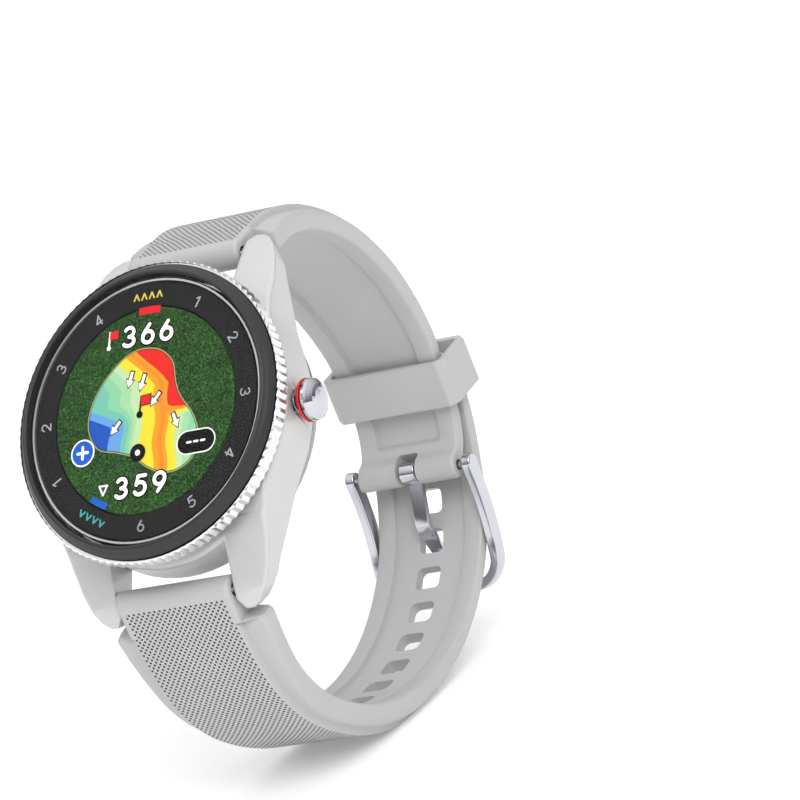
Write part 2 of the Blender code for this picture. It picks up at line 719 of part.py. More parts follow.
def make_straps():
    rubber = material("strap_rubber", STRAP_GREY, 0.55)
    steel = material("spring_bar_steel", (0.6, 0.6, 0.62), 0.25, 1.0)
    for name, side in (("12", 1), ("6", -1)):
        bar_profile = [(0, 12.0), (BAR_TIP_R, 12.0), (BAR_TIP_R, 9.6), (BAR_R, 9.6)]
        bar_profile += [(BAR_R, -9.6), (BAR_TIP_R, -9.6), (BAR_TIP_R, -12.0), (0, -12.0)]
        bar = turned(f"spring_bar_{name}", bar_profile, 16)
        place(bar, steel, (0, side * BAR_Y, BAR_Z), ALONG_X)

    short_line = Line(SHORT_LINE, 1)
    short = strap_blank("strap_short", short_line, short_shape)
    join(
        short,
        end_barrel("short_lug_barrel", 2.25, CORE_HALF, short_line, BAR_Y, BAR_Z),
        end_barrel("short_buckle_barrel", 2.05, 9.0, short_line, HINGE_Y, HINGE_Z),
    )
    cut(
        short,
        cutter(rod("short_bar_bore", BAR_BORE_R, -14, 14, 20), (0, BAR_Y, BAR_Z), ALONG_X),
        cutter(rod("short_pin_bore", HINGE_BORE_R, -14, 14, 18), (0, HINGE_Y, HINGE_Z), ALONG_X),
        cutter(box("tongue_slot", (-1.75, HINGE_Y - 5, HINGE_Z - 5), (1.75, HINGE_Y + 2.6, HINGE_Z + 5))),
    )
    place(short, rubber)

    long_line = Line(LONG_LINE, -1)
    long = strap_blank("strap_long", long_line, long_shape)
    join(long, end_barrel("long_lug_barrel", 2.25, CORE_HALF, long_line, -BAR_Y, BAR_Z))
    cut(long, cutter(rod("long_bar_bore", BAR_BORE_R, -14, 14, 20), (0, -BAR_Y, BAR_Z), ALONG_X))
    tongue_hole_at = float(
        np.interp(TONGUE_HOLE_Y, long_line.points[:, 0], long_line.lengths)
    )
    for index in range(HOLE_COUNT):
        along = tongue_hole_at + (TONGUE_HOLE - index) * HOLE_PITCH
        outline = box(
            f"strap_hole_{index}",
            (-HOLE_HALF_WIDTH, -HOLE_HALF_LENGTH, -4),
            (HOLE_HALF_WIDTH, HOLE_HALF_LENGTH, 4),
        )
        bevel = outline.modifiers.new("corners", "BEVEL")
        bevel.width = 0.9 * MM
        bevel.segments = 2
        bevel.limit_method = "WEIGHT"
        weights = outline.data.attributes.new("bevel_weight_edge", "FLOAT", "EDGE")
        for edge in outline.data.edges:
            a, b = (outline.data.vertices[i].co for i in edge.vertices)
            weights.data[edge.index].value = 1.0 if abs(a.z - b.z) > 4 * MM else 0.0
        outward = long_line.outward(along)
        turn = math.atan2(-outward[0], outward[1])
        cut(long, cutter(outline, (0, *long_line.point(along)), (turn, 0, 0)))
    place(long, rubber)
    return short_line, long_line


# -------------------------------------------------------- buckle and keeper


def make_keeper(line):
    rubber = material("keeper_rubber", STRAP_GREY, 0.5)
    centre = line.point(KEEPER_AT)
    tangent, outward = line.tangent(KEEPER_AT), line.outward(KEEPER_AT)
    strap_half = STRAP_HALF_THICK - SHORT_THINS_BY
    low = -strap_half - KEEPER_SLACK
    high = strap_half + KEEPER_SLACK + KEEPER_OUTER_SLACK + 2 * LONG_HALF_THICK_END + 0.05

    def outline(grow, edge):
        x = KEEPER_IN_X + grow
        bottom, top = low - grow, high + grow
        return [
            (-x + edge, bottom), (x - edge, bottom), (x, bottom + edge), (x, top - edge),
            (x - edge, top), (-x + edge, top), (-x, top - edge), (-x, bottom + edge),
        ]

    def ring_points(grow, edge, along):
        made = []
        for x, height in outline(grow, edge):
            y, z = tangent * along + outward * height
            made.append((x, y, z))
        return made

    half = KEEPER_WIDTH / 2
    round_edge = 0.2
    rings = [
        ring_points(KEEPER_WALL - round_edge, 1.0, -half),
        ring_points(KEEPER_WALL, 1.2, -half + round_edge),
        ring_points(KEEPER_WALL, 1.2, half - round_edge),
        ring_points(KEEPER_WALL - round_edge, 1.0, half),
        ring_points(0.0, 0.5, half),
        ring_points(0.0, 0.5, -half),
    ]
    bm = bmesh.new()
    made = [[bm.verts.new(p) for p in points] for points in rings]
    count = len(made[0])
    for near, far in zip(made, made[1:] + made[:1]):
        for i in range(count):
            j = (i + 1) % count
            bm.faces.new((near[i], near[j], far[j], far[i]))
    place(mesh_object("keeper", bm), rubber, (0, *centre))


def frame_path():
    """Middle line of the buckle frame in (X, share from hinge to far bar): an arm, a round corner, the bar, and back."""
    arm_x = (FRAME_IN_X + FRAME_OUT_X) / 2
    reach = math.hypot(HINGE_Y - FAR_BAR_Y, HINGE_Z - FAR_BAR_Z)
    corner = FRAME_CORNER_R
    arm = [(arm_x, reach * k / 5) for k in range(4)]
    bend = []
    for step in range(7):
        turn = math.radians(15 * step)
        x = arm_x - corner + corner * math.cos(turn)
        bend.append((x, reach - corner + corner * math.sin(turn)))
    half = arm + bend + [(3.0, reach)]
    return half + [(-x, u) for x, u in reversed(half)], reach


def make_buckle():
    chrome = material("buckle_chrome", (0.82, 0.82, 0.84), 0.1, 1.0)
    tongue_metal = material("tongue_metal", (0.75, 0.75, 0.78), 0.18, 1.0)
    steel = material("buckle_pin_steel", (0.6, 0.6, 0.62), 0.25, 1.0)
    path, reach = frame_path()
    hinge = np.array((HINGE_Y, HINGE_Z))
    far = np.array((FAR_BAR_Y, FAR_BAR_Z))
    along = (far - hinge) / reach
    across = np.array((-along[1], along[0]))

    def surface(u):
        """Point and normal on the curved sheet that the frame lies in."""
        share = u / reach
        lift = FRAME_BULGE * math.sin(math.pi * share)
        slope = FRAME_BULGE * math.pi / reach * math.cos(math.pi * share)
        normal = across - along * slope
        return along * u + across * lift, normal / np.hypot(*normal)

    rings = []
    half = (FRAME_OUT_X - FRAME_IN_X) / 2
    edge = 0.3
    for index, (x, u) in enumerate(path):
        before = path[max(index - 1, 0)]
        after = path[min(index + 1, len(path) - 1)]
        direction = Vector((after[0] - before[0], after[1] - before[1])).normalized()
        side = Vector((direction.y, -direction.x))
        deep = FRAME_ARM_HALF_DEPTH
        deep += (FRAME_BAR_HALF_DEPTH - FRAME_ARM_HALF_DEPTH) * between(u, reach - 6.0, reach)
        section = [(-half, edge - deep), (edge - half, -deep), (half - edge, -deep), (half, edge - deep)]
        section += [(-wide, -thick) for wide, thick in section]
        points = []
        for wide, thick in section:
            sheet, normal = surface(u + side.y * wide)
            y, z = sheet + normal * thick
            points.append((x + side.x * wide, y, z))
        rings.append(points)
    frame = loft("buckle_frame", rings)
    for name, sign in (("right", 1), ("left", -1)):
        low, high = sorted((sign * FRAME_IN_X, sign * FRAME_OUT_X))
        eye = cutter(rod(f"eye_{name}", HINGE_EYE_R, low, high, 24), (0, HINGE_Y, HINGE_Z), ALONG_X)
        join(frame, eye)
    bore = cutter(rod("frame_bore", HINGE_BORE_R, -11.25, 11.25, 18), (0, HINGE_Y, HINGE_Z), ALONG_X)
    cut(frame, bore)
    place(frame, chrome, (0, HINGE_Y, HINGE_Z))

    pin = rod("buckle_pin", HINGE_PIN_R, -11.0, 11.0, 16)
    place(pin, steel, (0, HINGE_Y, HINGE_Z), ALONG_X)

    tongue_line = [(9.9, -74.9), (6.2, -76.2), (3.5, -77.5), (1.9, -78.8), (0.9, -80.5)]
    tongue_line += [(-0.2, -82.7), (-1.8, -84.8), (-4.0, -86.1), (-6.4, -86.6), (-8.6, -86.2)]
    thick, wide = 0.5, 1.3
    rings = []
    for index, (y, z) in enumerate(tongue_line):
        before = np.array(tongue_line[max(index - 1, 0)])
        after = np.array(tongue_line[min(index + 1, len(tongue_line) - 1)])
        direction = (after - before) / np.hypot(*(after - before))
        normal = np.array((-direction[1], direction[0]))
        narrow = wide * (1 - 0.25 * between(index, 5, 9))
        points = []
        for x, height in ((-narrow, -thick), (narrow, -thick), (narrow, thick), (-narrow, thick)):
            py, pz = np.array((y, z)) + normal * height
            points.append((x, py, pz))
        rings.append(points)
    tongue = loft("tongue", rings, (0, HINGE_Y, HINGE_Z))
    barrel = cutter(rod("tongue_barrel", 1.75, -1.4, 1.4, 24), (0, HINGE_Y, HINGE_Z), ALONG_X)
    join(tongue, barrel)
    cut(tongue, cutter(rod("tongue_bore", HINGE_BORE_R, -3, 3, 18), (0, HINGE_Y, HINGE_Z), ALONG_X))
    place(tongue, tongue_metal, (0, HINGE_Y, HINGE_Z))


def stand():
    """Leans the watch back and sets it down: lowest point on z = 0, the origin below the middle of its box."""
    watch.rotation_euler = (math.radians(90 - LEAN_DEG), 0, 0)
    bpy.context.view_layer.update()
    graph = bpy.context.evaluated_depsgraph_get()
    corners = []
    for obj in parts.objects:
        if obj.type == "EMPTY":
            continue
        shape = obj.evaluated_get(graph)
        mesh = shape.to_mesh()
        corners += [shape.matrix_world @ vert.co for vert in mesh.vertices]
        shape.to_mesh_clear()
    low = Vector([min(c[k] for c in corners) for k in range(3)])
    high = Vector([max(c[k] for c in corners) for k in range(3)])
    watch.location = (-(low.x + high.x) / 2, -(low.y + high.y) / 2, -low.z)


make_front()
make_bezel()
make_case()
make_back()
make_inside()
make_button()
short_middle, long_middle = make_straps()
make_keeper(short_middle)
make_buckle()
stand()
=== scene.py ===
"""Looks for the golf GPS watch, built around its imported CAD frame.

Lengths are in millimetres in the watch's own axes, and WATCH takes them to the frame's metres:
X points to 3 o'clock, Y to 12 o'clock and Z out of the dial, with the origin at the dial's centre.
"""

import json
import math

import bmesh
import bpy
import numpy as np
from mathutils import Matrix, Vector


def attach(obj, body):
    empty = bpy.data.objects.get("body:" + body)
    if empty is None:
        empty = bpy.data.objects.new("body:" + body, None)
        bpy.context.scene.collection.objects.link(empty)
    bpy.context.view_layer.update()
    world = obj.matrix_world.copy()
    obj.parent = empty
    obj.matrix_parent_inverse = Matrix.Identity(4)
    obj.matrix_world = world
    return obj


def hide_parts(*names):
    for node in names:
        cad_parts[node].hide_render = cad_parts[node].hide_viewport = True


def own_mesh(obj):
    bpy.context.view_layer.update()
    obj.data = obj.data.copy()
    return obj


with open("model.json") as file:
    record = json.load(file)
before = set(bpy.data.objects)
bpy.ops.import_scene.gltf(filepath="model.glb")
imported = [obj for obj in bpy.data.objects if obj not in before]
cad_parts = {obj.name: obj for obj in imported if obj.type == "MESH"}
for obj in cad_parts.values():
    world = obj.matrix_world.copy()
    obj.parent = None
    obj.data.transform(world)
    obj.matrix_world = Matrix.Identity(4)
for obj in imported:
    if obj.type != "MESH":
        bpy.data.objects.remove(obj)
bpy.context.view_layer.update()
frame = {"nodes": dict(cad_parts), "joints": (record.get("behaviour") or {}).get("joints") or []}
joints = {joint["name"]: joint for joint in frame["joints"]}

MM = 0.001

# The dial's centre and normal come from the bezel's joint, and place the watch's own axes
dial_centre = Vector(joints["bezel_spin"]["pos_m"])
dial_normal = Vector(joints["bezel_spin"]["axis"]).normalized()
to_three = Vector((1, 0, 0))
to_twelve = dial_normal.cross(to_three).normalized()
WATCH = (
    Matrix.Translation(dial_centre)
    @ Matrix((to_three, to_twelve, dial_normal)).transposed().to_4x4()
    @ Matrix.Scale(MM, 4)
)

# Straps: the middle line of each half as (Y, Z), the same as the CAD's
SHORT_LINE = (
    (25.8, -10.2), (28.6, -13.8), (32.3, -18.2), (35.5, -25.0), (37.2, -33.0), (37.3, -41.0),
    (35.6, -50.0), (32.3, -57.9), (28.9, -63.4), (26.3, -66.1), (23.45, -68.75), (20.6, -71.4),
    (17.5, -73.2), (14.0, -74.1), (10.4, -73.6),
)
LONG_LINE = (
    (-25.8, -10.2), (-28.6, -13.8), (-33.2, -19.8), (-36.3, -25.6), (-37.8, -32.5), (-37.5, -41.0),
    (-35.7, -49.5), (-32.0, -58.2), (-25.8, -67.2), (-18.0, -74.2), (-9.5, -78.6), (-1.0, -80.6),
    (7.0, -80.1), (13.0, -78.4), (18.3, -76.3), (22.75, -73.7), (25.6, -71.05), (28.05, -68.77),
)
SHOULDER_AT = 4.3  # 0.6 mm nearer the lug than in the CAD
CORE_HALF = 9.75
BAND_HALF = 9.15
BAND_RISE = 1.15
HALF_THICK = 1.7
SHORT_THINS_BY = 0.25
LONG_HALF_THICK_END = 1.25
BAR_Y = 25.8
BAR_Z = -10.2
HINGE_Y = 10.4
HINGE_Z = -73.6

# Perforated band: dots on every other cell of a fine grid
CELL = 0.47
COLUMNS = 19
DOT_R = 0.21
DOT_DEPTH = 0.22
DOTS_FROM = 0.0
DOTS_END = 60.0

# Strap ends and holes
LUG_BARREL_R = 2.25
BUCKLE_BARREL_R = 2.05
TONGUE_SLOT_HALF = 1.85
BAR_BORE_R = 1.05  # each bore is 0.05 mm smaller than in the CAD
PIN_BORE_R = 0.9
HOLE_PITCH = 6.6
HOLE_HALF_LENGTH = 2.0
HOLE_HALF_WIDTH = 2.15
HOLE_CORNER = 0.95
HOLE_COUNT = 10
TONGUE_HOLE_Y = 0.75
TONGUE_HOLE = 3

# Keeper
KEEPER_AT = 65.9
KEEPER_WIDTH = 7.8
KEEPER_WALL = 1.3
KEEPER_SLACK = 0.45
KEEPER_OUTER_SLACK = 1.5
KEEPER_IN_X = 9.98

# Buckle
FRAME_IN_X = 10.0
FRAME_OUT_X = 11.6
FRAME_ARM_HALF_DEPTH = 1.35
FRAME_BAR_HALF_DEPTH = 1.0
FRAME_CORNER_R = 4.5
FRAME_BULGE = 1.2
FAR_BAR_Y = -6.5
FAR_BAR_Z = -84.15
EYE_R = 1.5

# Dial
NUMBER_R = 17.55
DIAL_TOP = 0.0


# ---------------------------------------------------------------- materials


def srgb(hex_colour):
    """A linear colour from a six-digit sRGB one."""
    channels = [int(hex_colour[i : i + 2], 16) / 255 for i in (0, 2, 4)]
    return tuple(c / 12.92 if c <= 0.04045 else ((c + 0.055) / 1.055) ** 2.4 for c in channels)


def node(tree, kind, **values):
    """A new node, with its inputs set by name."""
    made = tree.nodes.new(kind)
    for name, value in values.items():
        made.inputs[name.replace("_", " ")].default_value = value
    return made


def new_material(name):
    """A material with a cleared Principled shader. Returns the material, its tree and the shader."""
    made = bpy.data.materials.new(name)
    made.use_nodes = True
    tree = made.node_tree
    return made, tree, tree.nodes["Principled BSDF"]


def surface(
    name, colour, rough, metal=0.0, grain=2500.0, bump=0.02, mottle=0.06, rough_spread=0.08,
    blotch=180.0, stretch=(1, 1, 1), **sockets,
):
    """A moulded or machined surface: fine grain in the bump, soft mottling in colour and roughness."""
    made, tree, shader = new_material(name)
    where = tree.nodes.new("ShaderNodeTexCoord")
    mapping = tree.nodes.new("ShaderNodeMapping")
    mapping.inputs["Scale"].default_value = stretch
    tree.links.new(where.outputs["Object"], mapping.inputs["Vector"])
    fine = node(tree, "ShaderNodeTexNoise", Scale=grain, Detail=3.0, Roughness=0.6)
    broad = node(tree, "ShaderNodeTexNoise", Scale=blotch, Detail=4.0, Roughness=0.55)
    for noise in (fine, broad):
        tree.links.new(mapping.outputs["Vector"], noise.inputs["Vector"])
    ramp = tree.nodes.new("ShaderNodeValToRGB")
    low, high = ramp.color_ramp.elements
    low.position, high.position = 0.3, 0.7
    low.color = (*(c * (1 - mottle) for c in colour), 1)
    high.color = (*(min(1.0, c * (1 + mottle)) for c in colour), 1)
    tree.links.new(broad.outputs["Fac"], ramp.inputs["Fac"])
    tree.links.new(ramp.outputs["Color"], shader.inputs["Base Color"])
    spread = node(tree, "ShaderNodeMapRange", From_Min=0.3, From_Max=0.7)
    spread.inputs["To Min"].default_value = max(0.02, rough - rough_spread)
    spread.inputs["To Max"].default_value = min(1.0, rough + rough_spread)
    tree.links.new(fine.outputs["Fac"], spread.inputs["Value"])
    tree.links.new(spread.outputs["Result"], shader.inputs["Roughness"])
    bumped = node(tree, "ShaderNodeBump", Strength=0.35, Distance=bump * MM)
    tree.links.new(fine.outputs["Fac"], bumped.inputs["Height"])
    tree.links.new(bumped.outputs["Normal"], shader.inputs["Normal"])
    shader.inputs["Metallic"].default_value = metal
    for socket, value in sockets.items():
        shader.inputs[socket.replace("_", " ")].default_value = value
    return made


def glowing(name, colour, strength=0.6, grain=900.0, mottle=0.05):
    """A lit patch of the display: the colour shows in any light, with a faint pixel grain. On the index
    ring's print the same glow is painted light.
    """
    made = surface(name, colour, 0.5, grain=grain, bump=0.002, mottle=mottle, Specular_IOR_Level=0.1)
    shader = made.node_tree.nodes["Principled BSDF"]
    source = shader.inputs["Base Color"].links[0].from_socket
    made.node_tree.links.new(source, shader.inputs["Emission Color"])
    shader.inputs["Emission Strength"].default_value = strength
    return made


def turf():
    """The display's background: dark green speckled like rough grass, in broad lighter and darker patches.
    """
    made, tree, shader = new_material("display_turf")
    where = tree.nodes.new("ShaderNodeTexCoord")
    blades = node(tree, "ShaderNodeTexNoise", Scale=3300.0, Detail=3.0, Roughness=0.8)
    patches = node(tree, "ShaderNodeTexNoise", Scale=260.0, Detail=3.0, Roughness=0.5)
    for noise in (blades, patches):
        tree.links.new(where.outputs["Object"], noise.inputs["Vector"])
    ramp = tree.nodes.new("ShaderNodeValToRGB")
    stops = ((0.36, "0b260e"), (0.46, "1c4419"), (0.54, "2d5a24"), (0.66, "64904a"))
    ramp.color_ramp.elements[0].position = stops[0][0]
    ramp.color_ramp.elements[0].color = (*srgb(stops[0][1]), 1)
    ramp.color_ramp.elements[1].position = stops[-1][0]
    ramp.color_ramp.elements[1].color = (*srgb(stops[-1][1]), 1)
    for position, colour in stops[1:-1]:
        ramp.color_ramp.elements.new(position).color = (*srgb(colour), 1)
    tree.links.new(blades.outputs["Fac"], ramp.inputs["Fac"])
    shade = tree.nodes.new("ShaderNodeMix")
    shade.data_type = "RGBA"
    shade.blend_type = "MULTIPLY"
    shade.inputs["Factor"].default_value = 1.0
    tone = node(tree, "ShaderNodeMapRange", From_Min=0.3, From_Max=0.7)
    tone.inputs["To Min"].default_value = 0.75
    tone.inputs["To Max"].default_value = 1.15
    tree.links.new(patches.outputs["Fac"], tone.inputs["Value"])
    tree.links.new(ramp.outputs["Color"], shade.inputs["A"])
    tree.links.new(tone.outputs["Result"], shade.inputs["B"])
    tree.links.new(shade.outputs["Result"], shader.inputs["Base Color"])
    tree.links.new(shade.outputs["Result"], shader.inputs["Emission Color"])
    shader.inputs["Emission Strength"].default_value = 0.25
    shader.inputs["Roughness"].default_value = 0.45
    shader.inputs["Specular IOR Level"].default_value = 0.1
    return made


def calc(tree, operation, first, second=None, third=None):
    """One Math node. Each value is a socket or a number."""
    made = tree.nodes.new("ShaderNodeMath")
    made.operation = operation
    for index, value in enumerate((first, second, third)):
        if isinstance(value, (int, float)):
            made.inputs[index].default_value = value
        elif value is not None:
            tree.links.new(value, made.inputs[index])
    return made.outputs[0]


def dial_position(tree):
    """Sockets that hold the surface point's X and Y on the dial, in millimetres."""
    where = tree.nodes.new("ShaderNodeTexCoord")
    offset = tree.nodes.new("ShaderNodeVectorMath")
    offset.operation = "SUBTRACT"
    tree.links.new(where.outputs["Object"], offset.inputs[0])
    offset.inputs[1].default_value = dial_centre
    found = []
    for axis in (to_three, to_twelve):
        dot = tree.nodes.new("ShaderNodeVectorMath")
        dot.operation = "DOT_PRODUCT"
        tree.links.new(offset.outputs["Vector"], dot.inputs[0])
        dot.inputs[1].default_value = axis
        found.append(calc(tree, "DIVIDE", dot.outputs["Value"], MM))
    return found


def contour_map():
    """Bands of height across the green: a ridge down its middle, high at the top right."""
    made, tree, shader = new_material("display_contours")
    x, y = dial_position(tree)
    # Above the flag the ridge leans to the left, and below it the ground falls away on the right
    lean = calc(tree, "MAXIMUM", calc(tree, "SUBTRACT", y, 3.5), 0.0)
    across = calc(tree, "ADD", x, lean)
    wave = calc(tree, "SINE", calc(tree, "MULTIPLY", y, 0.9))
    across = calc(tree, "ADD", across, calc(tree, "MULTIPLY", wave, 0.25))
    falls = tree.nodes.new("ShaderNodeMapRange")
    falls.interpolation_type = "SMOOTHSTEP"
    falls.inputs["From Min"].default_value = 0.4
    falls.inputs["From Max"].default_value = -1.8
    tree.links.new(y, falls.inputs["Value"])
    beyond = calc(tree, "MAXIMUM", calc(tree, "SUBTRACT", across, 3.2), 0.0)
    drop = calc(tree, "MULTIPLY", calc(tree, "MULTIPLY", beyond, 2.6), falls.outputs["Result"])
    height = calc(tree, "SUBTRACT", across, drop)
    # The hollow at the lower left
    below = calc(tree, "MULTIPLY", calc(tree, "MINIMUM", calc(tree, "SUBTRACT", y, 1.2), 0.0), 2.0)
    below = calc(tree, "MAXIMUM", below, -6.0)
    left = calc(tree, "DIVIDE", calc(tree, "SUBTRACT", -1.5, across), 2.5)
    left = calc(tree, "MINIMUM", calc(tree, "MAXIMUM", left, 0.0), 1.0)
    height = calc(tree, "ADD", height, calc(tree, "MULTIPLY", below, left))
    lowest, highest = -16.0, 8.0
    share = calc(tree, "DIVIDE", calc(tree, "SUBTRACT", height, lowest), highest - lowest)
    bands = (
        (lowest, "2257bd"), (-12.2, "6aa5e3"), (-9.5, "78c6b0"), (-6.4, "8ed3a6"), (-4.2, "a9dba8"),
        (-2.4, "c6e3ac"), (-0.7, "f1e13a"), (1.7, "f5a12b"), (2.7, "f28f27"), (3.5, "f5a12b"),
        (4.1, "ea2a24"),
    )
    ramp = tree.nodes.new("ShaderNodeValToRGB")
    ramp.color_ramp.interpolation = "CONSTANT"
    last = len(bands) - 1
    for index, (starts, colour) in enumerate(bands):
        position = (starts - lowest) / (highest - lowest)
        if index == 0:
            element = ramp.color_ramp.elements[0]
        elif index == last:
            element = ramp.color_ramp.elements[-1]
            element.position = position
        else:
            element = ramp.color_ramp.elements.new(position)
        element.color = (*srgb(colour), 1)
    tree.links.new(share, ramp.inputs["Fac"])
    tree.links.new(ramp.outputs["Color"], shader.inputs["Base Color"])
    tree.links.new(ramp.outputs["Color"], shader.inputs["Emission Color"])
    shader.inputs["Emission Strength"].default_value = 0.45
    shader.inputs["Roughness"].default_value = 0.5
    shader.inputs["Specular IOR Level"].default_value = 0.1
    return made


def clear_glass():
    made, tree, shader = new_material("cover_glass_clear")
    where = tree.nodes.new("ShaderNodeTexCoord")
    film = node(tree, "ShaderNodeTexNoise", Scale=60.0, Detail=2.0)
    tree.links.new(where.outputs["Object"], film.inputs["Vector"])
    spread = node(tree, "ShaderNodeMapRange")
    spread.inputs["To Min"].default_value = 0.04
    spread.inputs["To Max"].default_value = 0.09
    tree.links.new(film.outputs["Fac"], spread.inputs["Value"])
    tree.links.new(spread.outputs["Result"], shader.inputs["Roughness"])
    shader.inputs["Base Color"].default_value = (0.02, 0.02, 0.022, 1)
    shader.inputs["Alpha"].default_value = 0.12
    return made


CASE = surface("case_satin", srgb("cacaca"), 0.34, metal=0.25, grain=9000, bump=0.0015, mottle=0.012)
RUBBER = surface(
    "strap_rubber", srgb("b9b9b9"), 0.5, grain=7000, bump=0.02, mottle=0.025, blotch=90
)
# A darker grey for the dimples' walls and floors: painted shade in the holes.
DOT_PAINTED_SHADE = surface("perforation_painted_shade", srgb("6c6c6c"), 0.8, grain=5000, bump=0.02)
BEZEL = surface(
    "bezel_charcoal", srgb("2e2e30"), 0.42, grain=7000, bump=0.003, mottle=0.06, Specular_IOR_Level=0.35
)
COIN = surface(
    "coin_edge_metal", srgb("e8e8ea"), 0.16, metal=1.0, grain=4000, bump=0.01, mottle=0.03
)
ACCENT = surface("accent_metal", srgb("f2f2f2"), 0.2, metal=0.6, grain=4000, bump=0.004)
PRINT_BLACK = surface(
    "index_print", srgb("262627"), 0.55, grain=6000, bump=0.006, mottle=0.08, Specular_IOR_Level=0.15
)
CHROME = surface(
    "chrome", srgb("c9c9d1"), 0.1, metal=1.0, grain=1500, bump=0.003, mottle=0.02, rough_spread=0.03
)
RED = surface("button_red", srgb("c4161c"), 0.3, grain=3000, bump=0.006, Coat_Weight=0.4)
STEEL = surface("spring_steel", srgb("b4b4b8"), 0.3, metal=1.0, grain=3000, bump=0.01)
BACK_STEEL = surface(
    "back_brushed", srgb("a2a2a5"), 0.32, metal=1.0, grain=2200, bump=0.02, stretch=(1, 14, 14)
)
BLACK_PLASTIC = surface("black_plastic", srgb("161618"), 0.5, grain=3500, bump=0.02)
GOLD = surface("contact_gold", srgb("d9b162"), 0.22, metal=1.0, grain=3000, bump=0.006)
BOARD = surface("board_green", srgb("14502a"), 0.45, grain=1200, bump=0.03, mottle=0.2)
WRAP = surface("battery_wrap", srgb("45484d"), 0.4, grain=1500, bump=0.02)
CERAMIC = surface("antenna_ceramic", srgb("b9a98c"), 0.6, grain=3000, bump=0.02)
GASKET = surface("gasket_rubber", srgb("151515"), 0.75, grain=2500, bump=0.02)
TURF = turf()
CONTOURS = contour_map()
GLASS = clear_glass()
WHITE_LIT = glowing("display_white", srgb("f7f7f5"), 0.75)
BLACK_LIT = glowing("display_black", srgb("0c0c0c"), 0.05)
RED_LIT = glowing("display_red", srgb("e0202a"), 0.6)
BLUE_LIT = glowing("display_blue", srgb("1e5fc0"), 0.6)
RIM_LIT = glowing("map_rim", srgb("b9b67a"), 0.4)
# The index ring's printed numbers and marks glow like the display: painted light, since print gives none.
NUMBER_GREY_PAINTED_GLOW = glowing("number_grey_painted_glow", srgb("b4b4b6"), 0.4)
YELLOW_PAINTED_GLOW = glowing("mark_yellow_painted_glow", srgb("e3cf52"), 0.5)
TEAL_PAINTED_GLOW = glowing("mark_teal_painted_glow", srgb("52b4ac"), 0.45)

NODE_LOOKS = {
    "cover_glass": GLASS, "index_ring": PRINT_BLACK, "accent_ring": ACCENT,
    "display_panel": TURF, "display_frame": BLACK_PLASTIC, "display_backplate": BACK_STEEL,
    "bezel_ring": BEZEL, "coin_edge_ring": COIN, "bezel_click_spring": STEEL, "mid_case": CASE,
    "main_board": BOARD, "battery": WRAP, "gps_antenna": CERAMIC, "vibration_motor": STEEL,
    "button_switch": BLACK_PLASTIC, "inner_frame": BLACK_PLASTIC, "button_cap": CHROME,
    "button_red_ring": RED, "button_stem": STEEL, "button_spring": STEEL, "case_back": BACK_STEEL,
    "case_back_gasket": GASKET, "spring_bar_12": STEEL, "spring_bar_6": STEEL,
    "buckle_pin": STEEL, "buckle_frame": CHROME, "tongue": CHROME, "keeper": RUBBER,
    "strap_short": RUBBER, "strap_long": RUBBER,
}
for index in range(1, 5):
    NODE_LOOKS[f"back_screw_{index}"] = STEEL
    NODE_LOOKS[f"charge_contact_{index}"] = GOLD


def dress_nodes():
    """Gives each CAD node its finish."""
    for name, look in NODE_LOOKS.items():
        mesh = frame["nodes"][name].data
        mesh.materials.clear()
        mesh.materials.append(look)


# ------------------------------------------------------------ making pieces


def piece_from(name, bm, looks, body, sharp_deg=35.0, replaced=()):
    """A piece from a mesh in the watch's millimetres: placed in the frame, smooth and on a body."""
    bmesh.ops.transform(bm, matrix=WATCH, verts=bm.verts)
    bmesh.ops.recalc_face_normals(bm, faces=bm.faces)
    mesh = bpy.data.meshes.new(name)
    bm.to_mesh(mesh)
    bm.free()
    mesh.shade_smooth()
    mesh.set_sharp_from_angle(angle=math.radians(sharp_deg))
    for look in looks:
        mesh.materials.append(look)
    obj = bpy.data.objects.new(name, mesh)
    bpy.context.scene.collection.objects.link(obj)
    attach(obj, body)
    if replaced:
        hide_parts(*replaced)
    return obj


def copied(node_name, name, look, body, sharp_deg):
    """A smooth-shaded piece with a CAD node's own shape, which stands for the node."""
    bm = bmesh.new()
    bm.from_mesh(frame["nodes"][node_name].data)
    bmesh.ops.remove_doubles(bm, verts=bm.verts, dist=1e-7)
    bmesh.ops.transform(bm, matrix=WATCH.inverted(), verts=bm.verts)
    made = piece_from(name, bm, [look], body, sharp_deg, [node_name])
    weighted = made.modifiers.new("weighted_normals", "WEIGHTED_NORMAL")
    weighted.keep_sharp = True
    return made


def make_case_and_spring():
    """The case with smooth flanks, and the button's spring, which gets a mesh of its own; nothing here
    shortens it as the button goes in.
    """
    copied("mid_case", "case_shell", CASE, "watch_head", 30)
    spring = copied("button_spring", "button_spring_steel", STEEL, "watch_head", 40)
    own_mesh(spring)


def skin(bm, rings, closed=False, cap=True):
    """Faces between neighbouring rings of vertices, each ring a closed loop. Returns the faces by strip."""
    strips = []
    pairs = list(zip(rings, rings[1:]))
    if closed:
        pairs.append((rings[-1], rings[0]))
    for near, far in pairs:
        count = len(near)
        strips.append(
            [
                bm.faces.new((near[i], near[(i + 1) % count], far[(i + 1) % count], far[i]))
                for i in range(count)
            ]
        )
    if cap and not closed:
        bm.faces.new(list(reversed(rings[0])))
        bm.faces.new(rings[-1])
    return strips


def between(value, first, last):
    """0 up to first, 1 from last, smooth in between."""
    share = min(1.0, max(0.0, (value - first) / (last - first)))
    return share * share * (3 - 2 * share)


